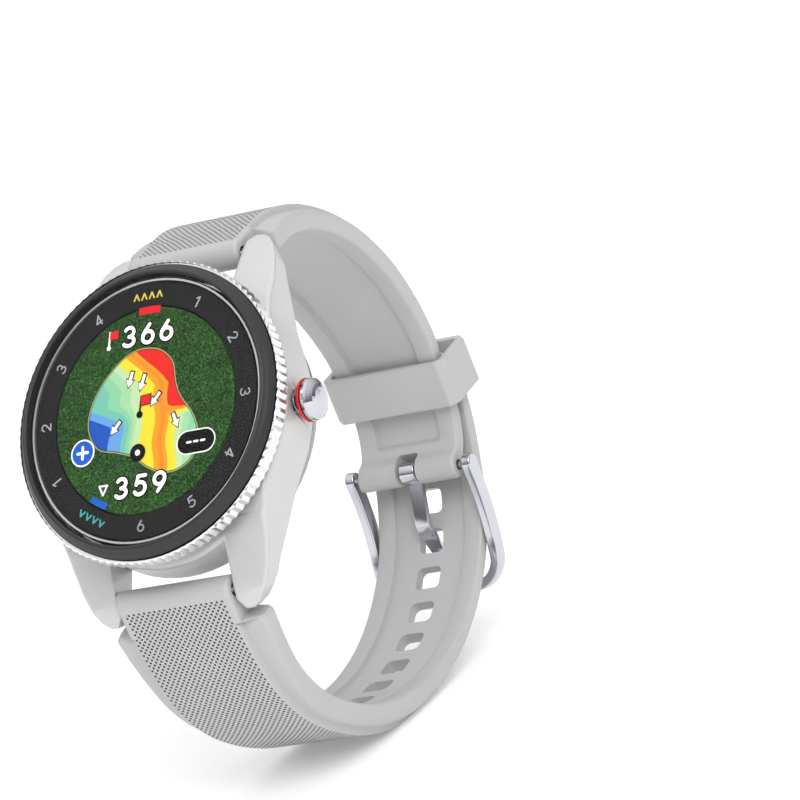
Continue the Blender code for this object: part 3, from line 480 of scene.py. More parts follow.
class Line:
    """A smooth middle line through (Y, Z) points, measured along its length."""

    def __init__(self, points, side):
        self.side = side
        control = np.array(points)
        ends = np.vstack((2 * control[0] - control[1], control, 2 * control[-1] - control[-2]))
        dense = []
        for p0, p1, p2, p3 in zip(ends, ends[1:], ends[2:], ends[3:]):
            for t in np.linspace(0, 1, 24, endpoint=False):
                dense.append(
                    0.5
                    * (
                        2 * p1
                        + (p2 - p0) * t
                        + (2 * p0 - 5 * p1 + 4 * p2 - p3) * t**2
                        + (3 * p1 - p0 - 3 * p2 + p3) * t**3
                    )
                )
        dense.append(control[-1])
        self.points = np.array(dense)
        steps = np.hypot(*np.diff(self.points, axis=0).T)
        self.lengths = np.concatenate(([0.0], np.cumsum(steps)))
        self.length = float(self.lengths[-1])

    def point(self, along):
        return np.array([np.interp(along, self.lengths, self.points[:, k]) for k in (0, 1)])

    def tangent(self, along):
        step = self.point(min(along + 1.2, self.length)) - self.point(max(along - 1.2, 0.0))
        return step / np.hypot(*step)

    def outward(self, along):
        ty, tz = self.tangent(along)
        return np.array((-tz, ty)) if self.side > 0 else np.array((tz, -ty))

    def at(self, along, x, height):
        """The point x across the strap and height outward of the middle line."""
        y, z = self.point(along) + self.outward(along) * height
        return (x, y, z)


# ------------------------------------------------------------------- straps


def half_width(line, along):
    if line.side > 0:
        return float(np.interp(along, (0, 5, 15, 40, 58, 66, 80), (13.6, 13.3, 12.2, 10.8, 9.8, 9.2, 8.9)))
    wide = float(np.interp(along, (0, 5, 15, 40, 64, 130), (13.6, 13.3, 12.2, 10.8, 9.65, 9.6)))
    return wide - 2.2 * between(along, line.length - 3.0, line.length) ** 2


def filleted(corners, radius, steps=3):
    """A closed outline with each of its corners rounded to a radius."""
    points = []
    count = len(corners)
    for index in range(count):
        here = Vector(corners[index])
        back = (Vector(corners[index - 1]) - here).normalized()
        ahead = (Vector(corners[(index + 1) % count]) - here).normalized()
        half_turn = back.angle(ahead) / 2
        run = radius / math.tan(half_turn)
        middle = here + (back + ahead).normalized() * (radius / math.sin(half_turn))
        start, end = here + back * run - middle, here + ahead * run - middle
        for step in range(steps + 1):
            share = step / steps
            arm = start.lerp(end, share).normalized() * radius
            points.append(tuple(middle + arm))
    return points


def rounded(corner_x, corner_h, x_way, h_way, radius, steps=4):
    """Points round a corner, from the edge that arrives along x_way to the one that leaves along h_way."""
    cx, ch = corner_x - x_way * radius, corner_h - h_way * radius
    points = []
    for step in range(steps + 1):
        turn = math.pi / 2 * step / steps
        points.append((cx + x_way * radius * math.sin(turn), ch + h_way * radius * math.cos(turn)))
    return points


def strap_outline(line, along, shape):
    """The right half of a cross-section, from the middle of the inner face round to the band's edge."""
    thick_in, thick_out, rise, recess = shape(along)
    core = along < SHOULDER_AT
    wide = CORE_HALF if core else half_width(line, along)
    top = thick_out + rise if core else thick_out
    if not core:
        start = (1 - between(along, SHOULDER_AT, SHOULDER_AT + 1.4)) ** 2
        wide -= 0.8 * start
        top -= 0.4 * start
    low = -thick_in
    rail = wide - 3.4
    half = [(0, low + recess), (rail * 0.5, low + recess), (rail - 0.1, low + recess)]
    half += [(rail + 0.02, low + recess * 0.85), (rail + 0.2, low + recess * 0.15)]
    half += [(rail + 0.4, low), (wide - 1.4, low)]
    inner = rounded(wide, low, 1, -1, 0.5)
    half += inner
    outer = [(x, h) for x, h in reversed(rounded(wide, top, 1, 1, 0.7 if core else 1.0))]
    half += outer
    band = min(BAND_HALF, wide - 0.9) if core else min(BAND_HALF, wide - 2.0)
    foot = top
    head = thick_out + rise
    if core:
        edge = wide - 0.7
        half += [(edge + (band - 0.12 - edge) * k / 5, head) for k in range(1, 6)]
        return half, band, head
    half += [(band + 0.55, foot), (band + 0.3, foot + 0.06 * rise), (band + 0.14, foot + 0.35 * rise)]
    half += [(band + 0.04, head - 0.2 * rise), (band - 0.12, head - 0.04 * rise)]
    return half, band, head


def strap_ring(bm, line, shape, along, columns, round_end=0.0, radius=0.0):
    """One loop of vertices round the strap. At a rounded end the loop shrinks and moves past the end."""
    half, band, head = strap_outline(line, along, shape)
    cell = min(CELL, (band - 0.2) / columns)
    top = [(cell * k, head) for k in range(columns, -columns - 1, -1)]
    left = [(-x, h) for x, h in reversed(half[1:])]
    way = 1 if along > line.length / 2 else -1
    past = line.tangent(along) * way * radius * math.sin(round_end)
    loop = []
    for x, height in half + top + left:
        _, y, z = line.at(along, x, height * math.cos(round_end))
        loop.append(bm.verts.new((x, y + past[0], z + past[1])))
    return loop, len(half)


def pierce(bm, face, inward):
    """Sinks a small round dimple into the middle of a cell. Its wall and floor take the second material, a
    darker grey that is painted shade.
    """
    centre = face.calc_center_median()
    corners = list(face.verts)
    axis_a = (corners[1].co - corners[0].co).normalized()
    axis_b = (corners[2].co - corners[1].co).normalized()
    around = []
    for k in range(8):
        turn = math.radians(45 * k + 225)
        offset = axis_a * math.cos(turn) * DOT_R + axis_b * math.sin(turn) * DOT_R
        around.append(centre + offset)
    rim = [bm.verts.new(p) for p in around]
    floor = [bm.verts.new(centre + (p - centre) * 0.85 + inward * DOT_DEPTH) for p in around]
    bm.faces.remove(face)
    for side in range(4):
        near, far = corners[side], corners[(side + 1) % 4]
        a, b, c = rim[2 * side], rim[2 * side + 1], rim[(2 * side + 2) % 8]
        bm.faces.new((near, b, a))
        bm.faces.new((near, far, b))
        bm.faces.new((far, c, b))
    # The wall and floor take material 1, the darker grey that paints shade into the dimple.
    for k in range(8):
        j = (k + 1) % 8
        wall = bm.faces.new((rim[k], rim[j], floor[j], floor[k]))
        wall.material_index = 1
    bottom = bm.faces.new(floor)
    bottom.material_index = 1


def short_shape(along):
    thin = SHORT_THINS_BY * between(along, 48, 60)
    rise = BAND_RISE * (1 - between(along, 46, 60))
    recess = 0.8 * between(along, 9, 13) * (1 - between(along, 75.6, 76.4))
    start = 0.5 * (1 - between(along, 0, 6))
    swell = 0.6 * between(along, SHORT.length - 2.6, SHORT.length - 0.6)
    return HALF_THICK + start - thin + swell, HALF_THICK - thin - start + swell, rise, recess


def long_shape(along):
    thin = (HALF_THICK - LONG_HALF_THICK_END) * between(along, 50, 80)
    rise = BAND_RISE * (1 - between(along, 50, 66))
    recess = 0.7 * between(along, 9, 13) * (1 - between(along, 118, 121))
    start = 0.5 * (1 - between(along, 0, 6))
    return HALF_THICK + start - thin, HALF_THICK - thin - start, rise, recess


SHORT = Line(SHORT_LINE, 1)
LONG = Line(LONG_LINE, -1)


def strap_mesh(line, shape, end_radius):
    """The strap's solid, with its dimples, as a bmesh in the watch's millimetres."""
    bm = bmesh.new()
    columns = COLUMNS
    stations = [CELL * k for k in range(int(line.length / CELL))] + [line.length]
    turns = [math.radians(t) for t in (84, 72, 58, 44, 30, 15)]
    rings, places = [], []
    for turn in turns:
        ring, first_top = strap_ring(bm, line, shape, 0.0, columns, turn, LUG_BARREL_R)
        rings.append(ring)
        places.append(-1.0)
    for along in stations:
        rings.append(strap_ring(bm, line, shape, along, columns)[0])
        places.append(along)
    for turn in reversed(turns):
        rings.append(strap_ring(bm, line, shape, line.length, columns, turn, end_radius)[0])
        places.append(line.length)
    strips = skin(bm, rings)
    pierced = []
    for row, strip in enumerate(strips):
        along = (places[row] + places[row + 1]) / 2
        if not DOTS_FROM < along < DOTS_END:
            continue
        y, z = line.outward(along)
        inward = Vector((0, -y, -z))
        for cell in range(2 * columns):
            if (row + cell) % 2 == 0:
                pierced.append((strip[first_top + cell], inward))
    for face, inward in pierced:
        pierce(bm, face, inward)
    return bm


def prism(bm, outline, frame_matrix, low, high):
    """Adds a closed prism to bm, from an outline of (x, y) points carried by a matrix."""
    rings = [
        [bm.verts.new(frame_matrix @ Vector((x, y, height))) for x, y in outline]
        for height in (low, high)
    ]
    skin(bm, rings)


def cut_piece(obj, bm):
    """Cuts the solids in bm, given in the watch's millimetres, out of a piece."""
    bmesh.ops.transform(bm, matrix=WATCH, verts=bm.verts)
    bmesh.ops.recalc_face_normals(bm, faces=bm.faces)
    mesh = bpy.data.meshes.new("cutter")
    bm.to_mesh(mesh)
    bm.free()
    other = bpy.data.objects.new("cutter", mesh)
    bpy.context.scene.collection.objects.link(other)
    other.matrix_world = obj.matrix_world
    boolean = obj.modifiers.new("cut", "BOOLEAN")
    boolean.operation = "DIFFERENCE"
    boolean.object = other
    boolean.solver = "EXACT"
    bpy.context.view_layer.update()
    graph = bpy.context.evaluated_depsgraph_get()
    cut = bpy.data.meshes.new_from_object(obj.evaluated_get(graph))
    obj.modifiers.clear()
    obj.data = cut
    cut.shade_smooth()
    cut.set_sharp_from_angle(angle=math.radians(32))
    bpy.data.objects.remove(other, do_unlink=True)


def bore_through(obj, radius, y, z):
    """A round bore along X, for a spring bar or the buckle's pin."""
    bm = bmesh.new()
    round_bar(bm, radius, -16.0, 16.0, y, z)
    cut_piece(obj, bm)


def strap_frame(line, along):
    """The matrix from (across, along, outward) at a place on the strap to the watch's axes."""
    (y, z), (ty, tz), (oy, oz) = line.point(along), line.tangent(along), line.outward(along)
    turn = Matrix(((1, 0, 0), (0, ty, tz), (0, oy, oz))).transposed().to_4x4()
    return Matrix.Translation((0, y, z)) @ turn


def make_straps():
    short = piece_from(
        "strap_short_rubber", strap_mesh(SHORT, short_shape, BUCKLE_BARREL_R), [RUBBER, DOT_PAINTED_SHADE],
        "short_strap", 32, ["strap_short"],
    )
    slot = bmesh.new()
    half = TONGUE_SLOT_HALF
    outline = filleted([(-half, -2.6), (half, -2.6), (half, 4.0), (-half, 4.0)], 0.5)
    prism(slot, outline, strap_frame(SHORT, SHORT.length), -5.0, 5.0)
    cut_piece(short, slot)
    bore_through(short, BAR_BORE_R, BAR_Y, BAR_Z)
    bore_through(short, PIN_BORE_R, HINGE_Y, HINGE_Z)
    long = piece_from(
        "strap_long_rubber", strap_mesh(LONG, long_shape, 0.6), [RUBBER, DOT_PAINTED_SHADE],
        "long_strap", 32, ["strap_long"],
    )
    holes = bmesh.new()
    x, y = HOLE_HALF_WIDTH, HOLE_HALF_LENGTH
    outline = filleted([(-x, -y), (x, -y), (x, y), (-x, y)], HOLE_CORNER, 5)
    tongue_hole_at = float(np.interp(TONGUE_HOLE_Y, LONG.points[:, 0], LONG.lengths))
    for index in range(HOLE_COUNT):
        along = tongue_hole_at + (TONGUE_HOLE - index) * HOLE_PITCH
        prism(holes, outline, strap_frame(LONG, along), -4.0, 4.0)
    cut_piece(long, holes)
    bore_through(long, BAR_BORE_R, -BAR_Y, BAR_Z)


# -------------------------------------------------------- keeper and buckle


def make_keeper():
    """A wide rubber loop with chamfered corners and softened edges."""
    strap_half = HALF_THICK - SHORT_THINS_BY
    low = -strap_half - KEEPER_SLACK
    high = strap_half + KEEPER_SLACK + KEEPER_OUTER_SLACK + 2 * LONG_HALF_THICK_END + 0.05
    place = strap_frame(SHORT, KEEPER_AT)

    def loop(bm, grow, along):
        x, bottom, top = KEEPER_IN_X + grow, low - grow, high + grow
        edge = 0.5 + 0.6 * grow
        corners = [
            (-x + edge, bottom), (x - edge, bottom), (x, bottom + edge), (x, top - edge),
            (x - edge, top), (-x + edge, top), (-x, top - edge), (-x, bottom + edge),
        ]
        outline = filleted(corners, 0.3, 4)
        return [bm.verts.new(place @ Vector((x, along, height))) for x, height in outline]

    bm = bmesh.new()
    half = KEEPER_WIDTH / 2
    soft = 0.4
    turns = [math.radians(18 * k) for k in range(6)]
    shape = [(KEEPER_WALL - soft + soft * math.sin(t), -half + soft - soft * math.cos(t)) for t in turns]
    shape += [(grow, -along) for grow, along in reversed(shape)]
    shape += [(0.25, half), (0.07, half - 0.07), (0.0, half - 0.25)]
    shape += [(0.0, -half + 0.25), (0.07, -half + 0.07), (0.25, -half)]
    rings = [loop(bm, grow, along) for grow, along in shape]
    skin(bm, rings, closed=True)
    piece_from("keeper_rubber", bm, [RUBBER], "keeper_loop", 32, ["keeper"])


def round_bar(bm, radius, low, high, y, z, soft=0.15, bore=0.0, sides=40):
    """A cylinder along X with softened ends. With a bore it is a ring."""
    turns = [math.radians(22.5 * k) for k in range(5)]
    shape = [(radius - soft + soft * math.sin(t), low + soft - soft * math.cos(t)) for t in turns]
    shape += [(radius - soft + soft * math.cos(t), high - soft + soft * math.sin(t)) for t in turns]
    if bore:
        shape += [(bore, high), (bore, low)]
    rings = []
    for r, x in shape:
        angles = [2 * math.pi * k / sides for k in range(sides)]
        rings.append([bm.verts.new((x, y + r * math.cos(a), z + r * math.sin(a))) for a in angles])
    skin(bm, rings, closed=bore > 0)


def frame_path():
    """Middle line of the buckle frame in (X, distance from the hinge): arm, corner, bar and back."""
    arm_x = (FRAME_IN_X + FRAME_OUT_X) / 2
    reach = math.hypot(HINGE_Y - FAR_BAR_Y, HINGE_Z - FAR_BAR_Z)
    straight = reach - FRAME_CORNER_R
    half = [(arm_x, -EYE_R * math.cos(math.radians(turn))) for turn in (15, 35, 55, 75)]
    half += [(arm_x, straight * k / 12) for k in range(12)]
    for step in range(13):
        turn = math.radians(7.5 * step)
        x = arm_x - FRAME_CORNER_R + FRAME_CORNER_R * math.cos(turn)
        half.append((x, straight + FRAME_CORNER_R * math.sin(turn)))
    half.append((3.0, reach))
    return half + [(-x, u) for x, u in reversed(half)], reach


def make_buckle():
    path, reach = frame_path()
    hinge = np.array((HINGE_Y, HINGE_Z))
    along = (np.array((FAR_BAR_Y, FAR_BAR_Z)) - hinge) / reach
    across = np.array((-along[1], along[0]))
    half = (FRAME_OUT_X - FRAME_IN_X) / 2
    bm = bmesh.new()
    rings = []
    for index, (x, u) in enumerate(path):
        before, after = path[max(index - 1, 0)], path[min(index + 1, len(path) - 1)]
        direction = Vector((after[0] - before[0], after[1] - before[1])).normalized()
        side = Vector((direction.y, -direction.x))
        deep = FRAME_ARM_HALF_DEPTH
        deep += (FRAME_BAR_HALF_DEPTH - FRAME_ARM_HALF_DEPTH) * between(u, reach - 6.0, reach)
        deep += (EYE_R - FRAME_ARM_HALF_DEPTH) * (1 - between(u, 0.0, 3.0))
        if u < 0:
            deep = math.sqrt(EYE_R**2 - u**2)
        ring = []
        for wide, thick in filleted([(-half, -deep), (half, -deep), (half, deep), (-half, deep)], 0.32, 4):
            share = (u + side.y * wide) / reach
            sheet = hinge + along * (u + side.y * wide) + across * FRAME_BULGE * math.sin(math.pi * share)
            normal = across - along * FRAME_BULGE * math.pi / reach * math.cos(math.pi * share)
            y, z = sheet + normal / np.hypot(*normal) * thick
            ring.append(bm.verts.new((x + side.x * wide, y, z)))
        rings.append(ring)
    skin(bm, rings)
    piece_from("buckle_frame_chrome", bm, [CHROME], "buckle", 40, ["buckle_frame"])


def make_tongue():
    """A flat chrome blade on a wide barrel, bent where it goes down into its hole and over the far bar."""
    blade = [(10.0, -75.0), (8.2, -75.55), (7.9, -75.65), (2.8, -77.55), (2.5, -77.75), (1.5, -79.5)]
    blade += [(0.6, -81.0), (-0.2, -82.6), (-1.0, -83.9), (-1.9, -84.9), (-3.0, -85.7), (-4.3, -86.2)]
    blade += [(-5.5, -86.5), (-6.7, -86.6), (-7.8, -86.5), (-8.6, -86.2)]
    thick, wide = 0.5, 1.25
    bm = bmesh.new()
    rings = []
    last = len(blade) - 1
    for index, (y, z) in enumerate(blade):
        before, after = np.array(blade[max(index - 1, 0)]), np.array(blade[min(index + 1, last)])
        direction = (after - before) / np.hypot(*(after - before))
        normal = np.array((-direction[1], direction[0]))
        narrow = wide * (1 - 0.25 * between(index, last * 0.5, last))
        corners = [(-narrow, -thick), (narrow, -thick), (narrow, thick), (-narrow, thick)]
        ring = []
        for x, height in filleted(corners, 0.16, 3):
            py, pz = np.array((y, z)) + normal * height
            ring.append(bm.verts.new((x, py, pz)))
        rings.append(ring)
    skin(bm, rings)
    round_bar(bm, 1.75, -1.4, 1.4, HINGE_Y, HINGE_Z, 0.2, PIN_BORE_R)
    piece_from("tongue_chrome", bm, [CHROME], "prong", 40, ["tongue"])


# --------------------------------------------------------------------- dial


def flat_piece(name, outline, low, high, look, body="watch_head"):
    """A thin plate from an outline of (x, y) points between two heights."""
    bm = bmesh.new()
    bottom = [bm.verts.new((x, y, low)) for x, y in outline]
    top = [bm.verts.new((x, y, high)) for x, y in outline]
    skin(bm, [bottom, top])
    return piece_from(name, bm, [look], body, 60)


def arc(x, y, radius_x, radius_y, first_deg, last_deg, steps=14):
    """Points along part of an ellipse."""
    turns = [math.radians(first_deg + (last_deg - first_deg) * k / steps) for k in range(steps + 1)]
    return [(x + radius_x * math.cos(a), y + radius_y * math.sin(a)) for a in turns]


# Each digit's strokes, in a box one unit high and 0.62 wide, from its lower left corner
NINE_TAIL = [(0.60, 0.66), (0.58, 0.52), (0.50, 0.36), (0.38, 0.18), (0.26, 0.0)]
STROKES = {
    "1": [[(0.12, 0.78), (0.38, 1.0), (0.38, 0.0)]],
    "2": [arc(0.31, 0.72, 0.27, 0.28, 170, -38) + [(0.04, 0.0), (0.60, 0.0)]],
    "3": [arc(0.28, 0.745, 0.25, 0.255, 150, -90), arc(0.28, 0.25, 0.30, 0.25, 90, -150)],
    "4": [[(0.47, 0.0), (0.47, 1.0), (0.02, 0.28), (0.62, 0.28)]],
    "5": [[(0.56, 1.0), (0.14, 1.0), (0.08, 0.54)] + arc(0.28, 0.33, 0.31, 0.33, 125, -150)],
    "6": [
        arc(0.31, 0.31, 0.29, 0.31, 0, 360, 28),
        [(0.62 - x, 1.0 - y) for x, y in NINE_TAIL],
    ],
    "9": [arc(0.31, 0.69, 0.29, 0.31, 0, 360, 28), NINE_TAIL],
}
DIGIT_WIDTH = 0.62
READOUT_WIDEN = 1.12


def stroke(bm, points, half, low, high):
    """A flat ribbon with round ends along a line of points, as a chain of capsules."""
    for (x0, y0), (x1, y1) in zip(points, points[1:]):
        heading = math.atan2(y1 - y0, x1 - x0)
        outline = arc(x1, y1, half, half, math.degrees(heading) - 90, math.degrees(heading) + 90, 6)
        outline += arc(x0, y0, half, half, math.degrees(heading) + 90, math.degrees(heading) + 270, 6)
        prism(bm, outline, Matrix.Identity(4), low, high)


def digits(name, words, height, centre, turn, spacing, half, low, high, look, lean=0.0):
    """Digits as flat ribbons, centred at a point of the dial and turned about its normal."""
    bm = bmesh.new()
    for index, word in enumerate(words):
        shift = (index - (len(words) - 1) / 2) * spacing
        for points in STROKES[word]:
            placed = []
            for px, py in points:
                x = (px - DIGIT_WIDTH / 2) * height * READOUT_WIDEN + lean * (py - 0.5) * height + shift
                y = (py - 0.5) * height
                placed.append(
                    (
                        centre[0] + x * math.cos(turn) - y * math.sin(turn),
                        centre[1] + x * math.sin(turn) + y * math.cos(turn),
                    )
                )
            stroke(bm, placed, half, low, high)
    return piece_from(name, bm, [look], "watch_head", 60)


def clock(hours, radius):
    angle = math.radians(90 - 30 * hours)
    return radius * math.cos(angle), radius * math.sin(angle)


def make_index():
    numbers = [(1, "1"), (2, "2"), (3, "3"), (4, "4"), (5, "5"), (6, "6")]
    numbers += [(8, "1"), (9, "2"), (10, "3"), (11, "4")]
    for hour, word in numbers:
        upright = -math.radians(30 * hour)
        if hour in (5, 6):
            upright += math.pi
        # The printed numbers glow: painted light.
        digits(
            f"index_number_{hour}", word, 1.55, clock(hour, NUMBER_R), upright, 0.0, 0.11,
            DIAL_TOP + 0.02, DIAL_TOP + 0.06, NUMBER_GREY_PAINTED_GLOW,
        )
    # The printed marks glow: painted light.
    for hour, look, name in ((0, YELLOW_PAINTED_GLOW, "mark_twelve"), (7, TEAL_PAINTED_GLOW, "mark_seven")):
        x, y = clock(hour, 17.6)
        across = Vector((y, -x)).normalized()
        outward = Vector((x, y)).normalized()
        for index in range(4):
            middle = Vector((x, y)) + across * (index - 1.5) * 1.35
            tips = [middle - across * 0.42 - outward * 0.45, middle + outward * 0.45]
            tips.append(middle + across * 0.42 - outward * 0.45)
            bm = bmesh.new()
            stroke(bm, [tuple(p) for p in tips], 0.12, DIAL_TOP + 0.02, DIAL_TOP + 0.06)
            piece_from(f"{name}_{index}", bm, [look], "watch_head", 60)


def arc_band(inner, outer, middle_deg, half_deg, steps=8):
    angles = [math.radians(middle_deg + half_deg * (2 * k / steps - 1)) for k in range(steps + 1)]
    points = [(outer * math.cos(a), outer * math.sin(a)) for a in angles]
    return points + [(inner * math.cos(a), inner * math.sin(a)) for a in reversed(angles)]


def disc(x, y, radius, steps=40):
    turns = [2 * math.pi * k / steps for k in range(steps)]
    return [(x + radius * math.cos(a), y + radius * math.sin(a)) for a in turns]


def pill(x, y, half_length, radius, steps=12):
    points = []
    for k in range(steps + 1):
        a = -math.pi / 2 + math.pi * k / steps
        points.append((x + half_length + radius * math.cos(a), y + radius * math.sin(a)))
    for k in range(steps + 1):
        a = math.pi / 2 + math.pi * k / steps
        points.append((x - half_length + radius * math.cos(a), y + radius * math.sin(a)))
    return points


# A putting green's outline, clockwise from its top
GREEN = (
    (0.0, 9.3), (2.6, 8.6), (4.6, 6.5), (5.2, 3.4), (6.2, 1.0), (8.4, -2.0), (9.4, -5.2), (8.6, -8.2),
    (6.0, -9.8), (3.2, -9.7), (0.8, -8.6), (-1.8, -6.7), (-4.8, -5.6), (-8.0, -4.6), (-9.7, -1.6),
    (-9.4, 1.6), (-7.6, 4.9), (-4.6, 7.9), (-2.2, 9.1),
)


def green_outline(grow=0.0, steps=6):
    """The green's outline as a smooth closed curve, moved outward by grow."""
    count = len(GREEN)
    smooth = []
    for index in range(count):
        p0, p1, p2, p3 = (Vector(GREEN[(index + k) % count]) for k in (-1, 0, 1, 2))
        for step in range(steps):
            t = step / steps
            cubic = 3 * p1 - p0 - 3 * p2 + p3
            square = 2 * p0 - 5 * p1 + 4 * p2 - p3
            smooth.append(0.5 * (2 * p1 + (p2 - p0) * t + square * t**2 + cubic * t**3))
    total = len(smooth)
    points = []
    for index, point in enumerate(smooth):
        run = (smooth[(index + 1) % total] - smooth[index - 1]).normalized()
        points.append((point.x - run.y * grow, point.y + run.x * grow))
    return points


def arrow(name, tail, tip):
    """A small white arrow with a dark edge, between two points."""
    tail, tip = Vector(tail), Vector(tip)
    ahead = (tip - tail).normalized()
    side = Vector((-ahead.y, ahead.x))
    length = (tip - tail).length
    for grow, top, look, tag in ((0.2, 0.09, BLACK_LIT, "edge"), (0.0, 0.12, WHITE_LIT, "face")):
        head, half, stem = 1.1 + grow, 0.66 + grow, 0.25 + grow
        shape = [(-grow, -stem), (length - head, -stem), (length - head, -half)]
        shape += [(length + 1.4 * grow, 0.0), (length - head, half), (length - head, stem), (-grow, stem)]
        outline = [tuple(tail + ahead * along + side * aside) for along, aside in shape]
        flat_piece(f"{name}_{tag}", outline, DIAL_TOP + top - 0.02, DIAL_TOP + top, look)


def flag(name, x, y, tall, foot, pole_look, edged):
    """A red flag on its pole, its foot at (x, y)."""
    lean = 0.08 * tall
    bm = bmesh.new()
    stroke(bm, [(x, y), (x + lean, y + tall)], 0.16, DIAL_TOP + 0.13, DIAL_TOP + 0.15)
    piece_from(f"{name}_pole", bm, [pole_look], "watch_head", 60)
    flat_piece(f"{name}_foot", disc(x, y, foot, 24), DIAL_TOP + 0.13, DIAL_TOP + 0.155, pole_look)
    low, high, far = y + 0.5 * tall, y + tall, x + lean + 0.62 * tall
    for grow, top, look, tag in ((edged, 0.16, BLACK_LIT, "edge"), (0.0, 0.18, RED_LIT, "cloth")):
        cloth = [(x + lean - grow, low - grow), (far + grow, low - grow + 0.05 * tall)]
        cloth += [(far + grow, high + grow + 0.06 * tall), (x + lean - grow, high + grow)]
        flat_piece(f"{name}_{tag}", cloth, DIAL_TOP + top - 0.02, DIAL_TOP + top, look)


def readout(name, words, centre, low=0.17):
    for half, top, look, tag in ((0.5, low, BLACK_LIT, "edge"), (0.28, low + 0.03, WHITE_LIT, "face")):
        digits(
            f"{name}_{tag}", words, 2.8, centre, 0.0, 3.3, half, DIAL_TOP + top - 0.02,
            DIAL_TOP + top, look, 0.06,
        )


def pill_mark(name, x, y, half_length, radius, rim, face_look):
    """A pill-shaped or round button on the display, with a white rim."""
    outer = pill(x, y, half_length, radius + rim)
    inner = pill(x, y, half_length, radius)
    flat_piece(f"{name}_rim", outer, DIAL_TOP + 0.13, DIAL_TOP + 0.15, WHITE_LIT)
    flat_piece(f"{name}_face", inner, DIAL_TOP + 0.14, DIAL_TOP + 0.17, face_look)


def make_display():
    flat_piece("map_rim", green_outline(0.26), DIAL_TOP + 0.02, DIAL_TOP + 0.04, RIM_LIT)
    flat_piece("map_edge", green_outline(0.1), DIAL_TOP + 0.03, DIAL_TOP + 0.05, BLACK_LIT)
    flat_piece("map_face", green_outline(), DIAL_TOP + 0.045, DIAL_TOP + 0.065, CONTOURS)
    arrow("arrow_1", (-2.3, 6.2), (-3.0, 3.9))
    arrow("arrow_2", (-0.1, 5.5), (-0.9, 3.1))
    arrow("arrow_3", (2.7, 2.3), (1.1, 0.5))
    arrow("arrow_4", (5.1, -1.3), (6.0, -3.5))
    arrow("arrow_5", (-4.2, -1.1), (-5.8, -2.9))
    flag("map_flag", -0.8, -0.6, 2.7, 0.55, BLACK_LIT, 0.14)
    flag("readout_flag", -6.7, 10.5, 2.4, 0.36, WHITE_LIT, 0.0)
    readout("readout_top", "366", (0.3, 11.7))
    readout("readout_bottom", "359", (-0.2, -11.4))
    bm = bmesh.new()
    triangle = [(-7.5, -10.6), (-6.8, -12.0), (-6.1, -10.6), (-7.5, -10.6)]
    stroke(bm, triangle, 0.14, DIAL_TOP + 0.15, DIAL_TOP + 0.17)
    piece_from("readout_mark", bm, [WHITE_LIT], "watch_head", 60)
    pill_mark("pill", 9.3, -6.2, 1.55, 1.65, 0.2, BLACK_LIT)
    bm = bmesh.new()
    for index in range(3):
        x = 9.3 + 1.2 * (index - 1)
        stroke(bm, [(x - 0.3, -6.2), (x + 0.3, -6.2)], 0.17, DIAL_TOP + 0.17, DIAL_TOP + 0.19)
    piece_from("pill_dashes", bm, [WHITE_LIT], "watch_head", 60)
    flat_piece("marker_disc", disc(-0.9, -6.4, 1.35), DIAL_TOP + 0.13, DIAL_TOP + 0.16, BLACK_LIT)
    flat_piece("marker_dot", disc(-0.9, -6.4, 0.45, 24), DIAL_TOP + 0.15, DIAL_TOP + 0.18, WHITE_LIT)
    pill_mark("zoom", -10.7, -5.0, 0.0, 1.85, 0.25, BLUE_LIT)
    bm = bmesh.new()
    stroke(bm, [(-11.6, -5.0), (-9.8, -5.0)], 0.22, DIAL_TOP + 0.17, DIAL_TOP + 0.19)
    stroke(bm, [(-10.7, -5.9), (-10.7, -4.1)], 0.22, DIAL_TOP + 0.17, DIAL_TOP + 0.19)
    piece_from("zoom_plus", bm, [WHITE_LIT], "watch_head", 60)
    flat_piece("rim_mark_red", arc_band(14.8, 15.9, 88.5, 7), DIAL_TOP + 0.07, DIAL_TOP + 0.09, RED_LIT)
    flat_piece("rim_mark_blue", arc_band(14.6, 15.6, -120, 6), DIAL_TOP + 0.07, DIAL_TOP + 0.09, BLUE_LIT)


# ------------------------------------------------------------ floor and light


def make_stage():
    bm = bmesh.new()
    bmesh.ops.create_grid(bm, x_segments=2, y_segments=2, size=4.0)
    mesh = bpy.data.meshes.new("floor")
    bm.to_mesh(mesh)
    bm.free()
    floor = bpy.data.objects.new("floor", mesh)
    white = surface(
        "floor_white", (0.9, 0.9, 0.9), 0.8, grain=40, bump=0.0, mottle=0.0, Specular_IOR_Level=0.1
    )
    shader = white.node_tree.nodes["Principled BSDF"]
    shader.inputs["Emission Color"].default_value = (1, 1, 1, 1)
    shader.inputs["Emission Strength"].default_value = 0.2
    mesh.materials.append(white)
    bpy.context.scene.collection.objects.link(floor)


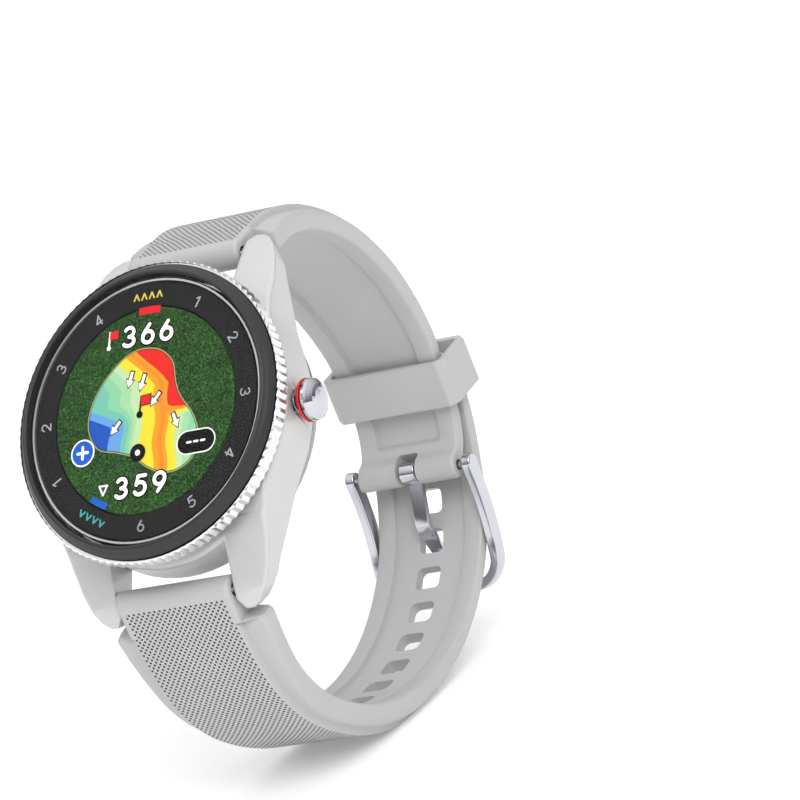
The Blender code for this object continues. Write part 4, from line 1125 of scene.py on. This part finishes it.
def softbox(name, size, energy, position, target):
    light = bpy.data.lights.new(name, "AREA")
    light.shape = "RECTANGLE"
    light.size, light.size_y = size
    light.energy = energy
    obj = bpy.data.objects.new(name, light)
    obj.location = position
    obj.rotation_euler = (Vector(target) - Vector(position)).to_track_quat("-Z", "Y").to_euler()
    bpy.context.scene.collection.objects.link(obj)


def make_light():
    """A white studio that is brightest overhead and greyer towards the horizon, with one softbox."""
    world = bpy.data.worlds.new("studio")
    bpy.context.scene.world = world
    world.use_nodes = True
    tree = world.node_tree
    where = tree.nodes.new("ShaderNodeTexCoord")
    parts = tree.nodes.new("ShaderNodeSeparateXYZ")
    tree.links.new(where.outputs["Generated"], parts.inputs["Vector"])
    ramp = tree.nodes.new("ShaderNodeValToRGB")
    stops = ((0.0, 0.12), (0.15, 0.3), (0.5, 0.8), (1.0, 1.25))
    ramp.color_ramp.elements[0].position = stops[0][0]
    ramp.color_ramp.elements[0].color = (stops[0][1],) * 3 + (1,)
    ramp.color_ramp.elements[1].position = stops[-1][0]
    ramp.color_ramp.elements[1].color = (stops[-1][1],) * 3 + (1,)
    for position, grey in stops[1:-1]:
        ramp.color_ramp.elements.new(position).color = (grey, grey, grey, 1)
    tree.links.new(parts.outputs["Z"], ramp.inputs["Fac"])
    tree.links.new(ramp.outputs["Color"], tree.nodes["Background"].inputs["Color"])
    tree.nodes["Background"].inputs["Strength"].default_value = 1.0
    softbox("key", (0.7, 0.7), 6.5, (0.6, -0.7, 0.8), (0, 0, 0.04))


def make_camera():
    camera = bpy.data.cameras.new("camera")
    camera.sensor_width = 36.0
    camera.lens = 208.5
    obj = bpy.data.objects.new("camera", camera)
    forward = Vector((-0.50392, 0.83826, -0.20832)).normalized()
    up = Vector((0.1517, 0.32332, 0.93405))
    back = -forward
    right = up.cross(back).normalized()
    up = back.cross(right)
    turn = Matrix((right, up, back)).transposed().to_4x4()
    from_dial = Vector((0.371135, -0.547737, 0.130892))
    obj.matrix_world = Matrix.Translation(dial_centre + from_dial) @ turn
    bpy.context.scene.collection.objects.link(obj)
    bpy.context.scene.camera = obj
    bpy.context.scene.view_settings.view_transform = "Standard"


dress_nodes()
make_case_and_spring()
make_straps()
make_keeper()
make_buckle()
make_tongue()
make_index()
make_display()
make_stage()
make_light()
make_camera()
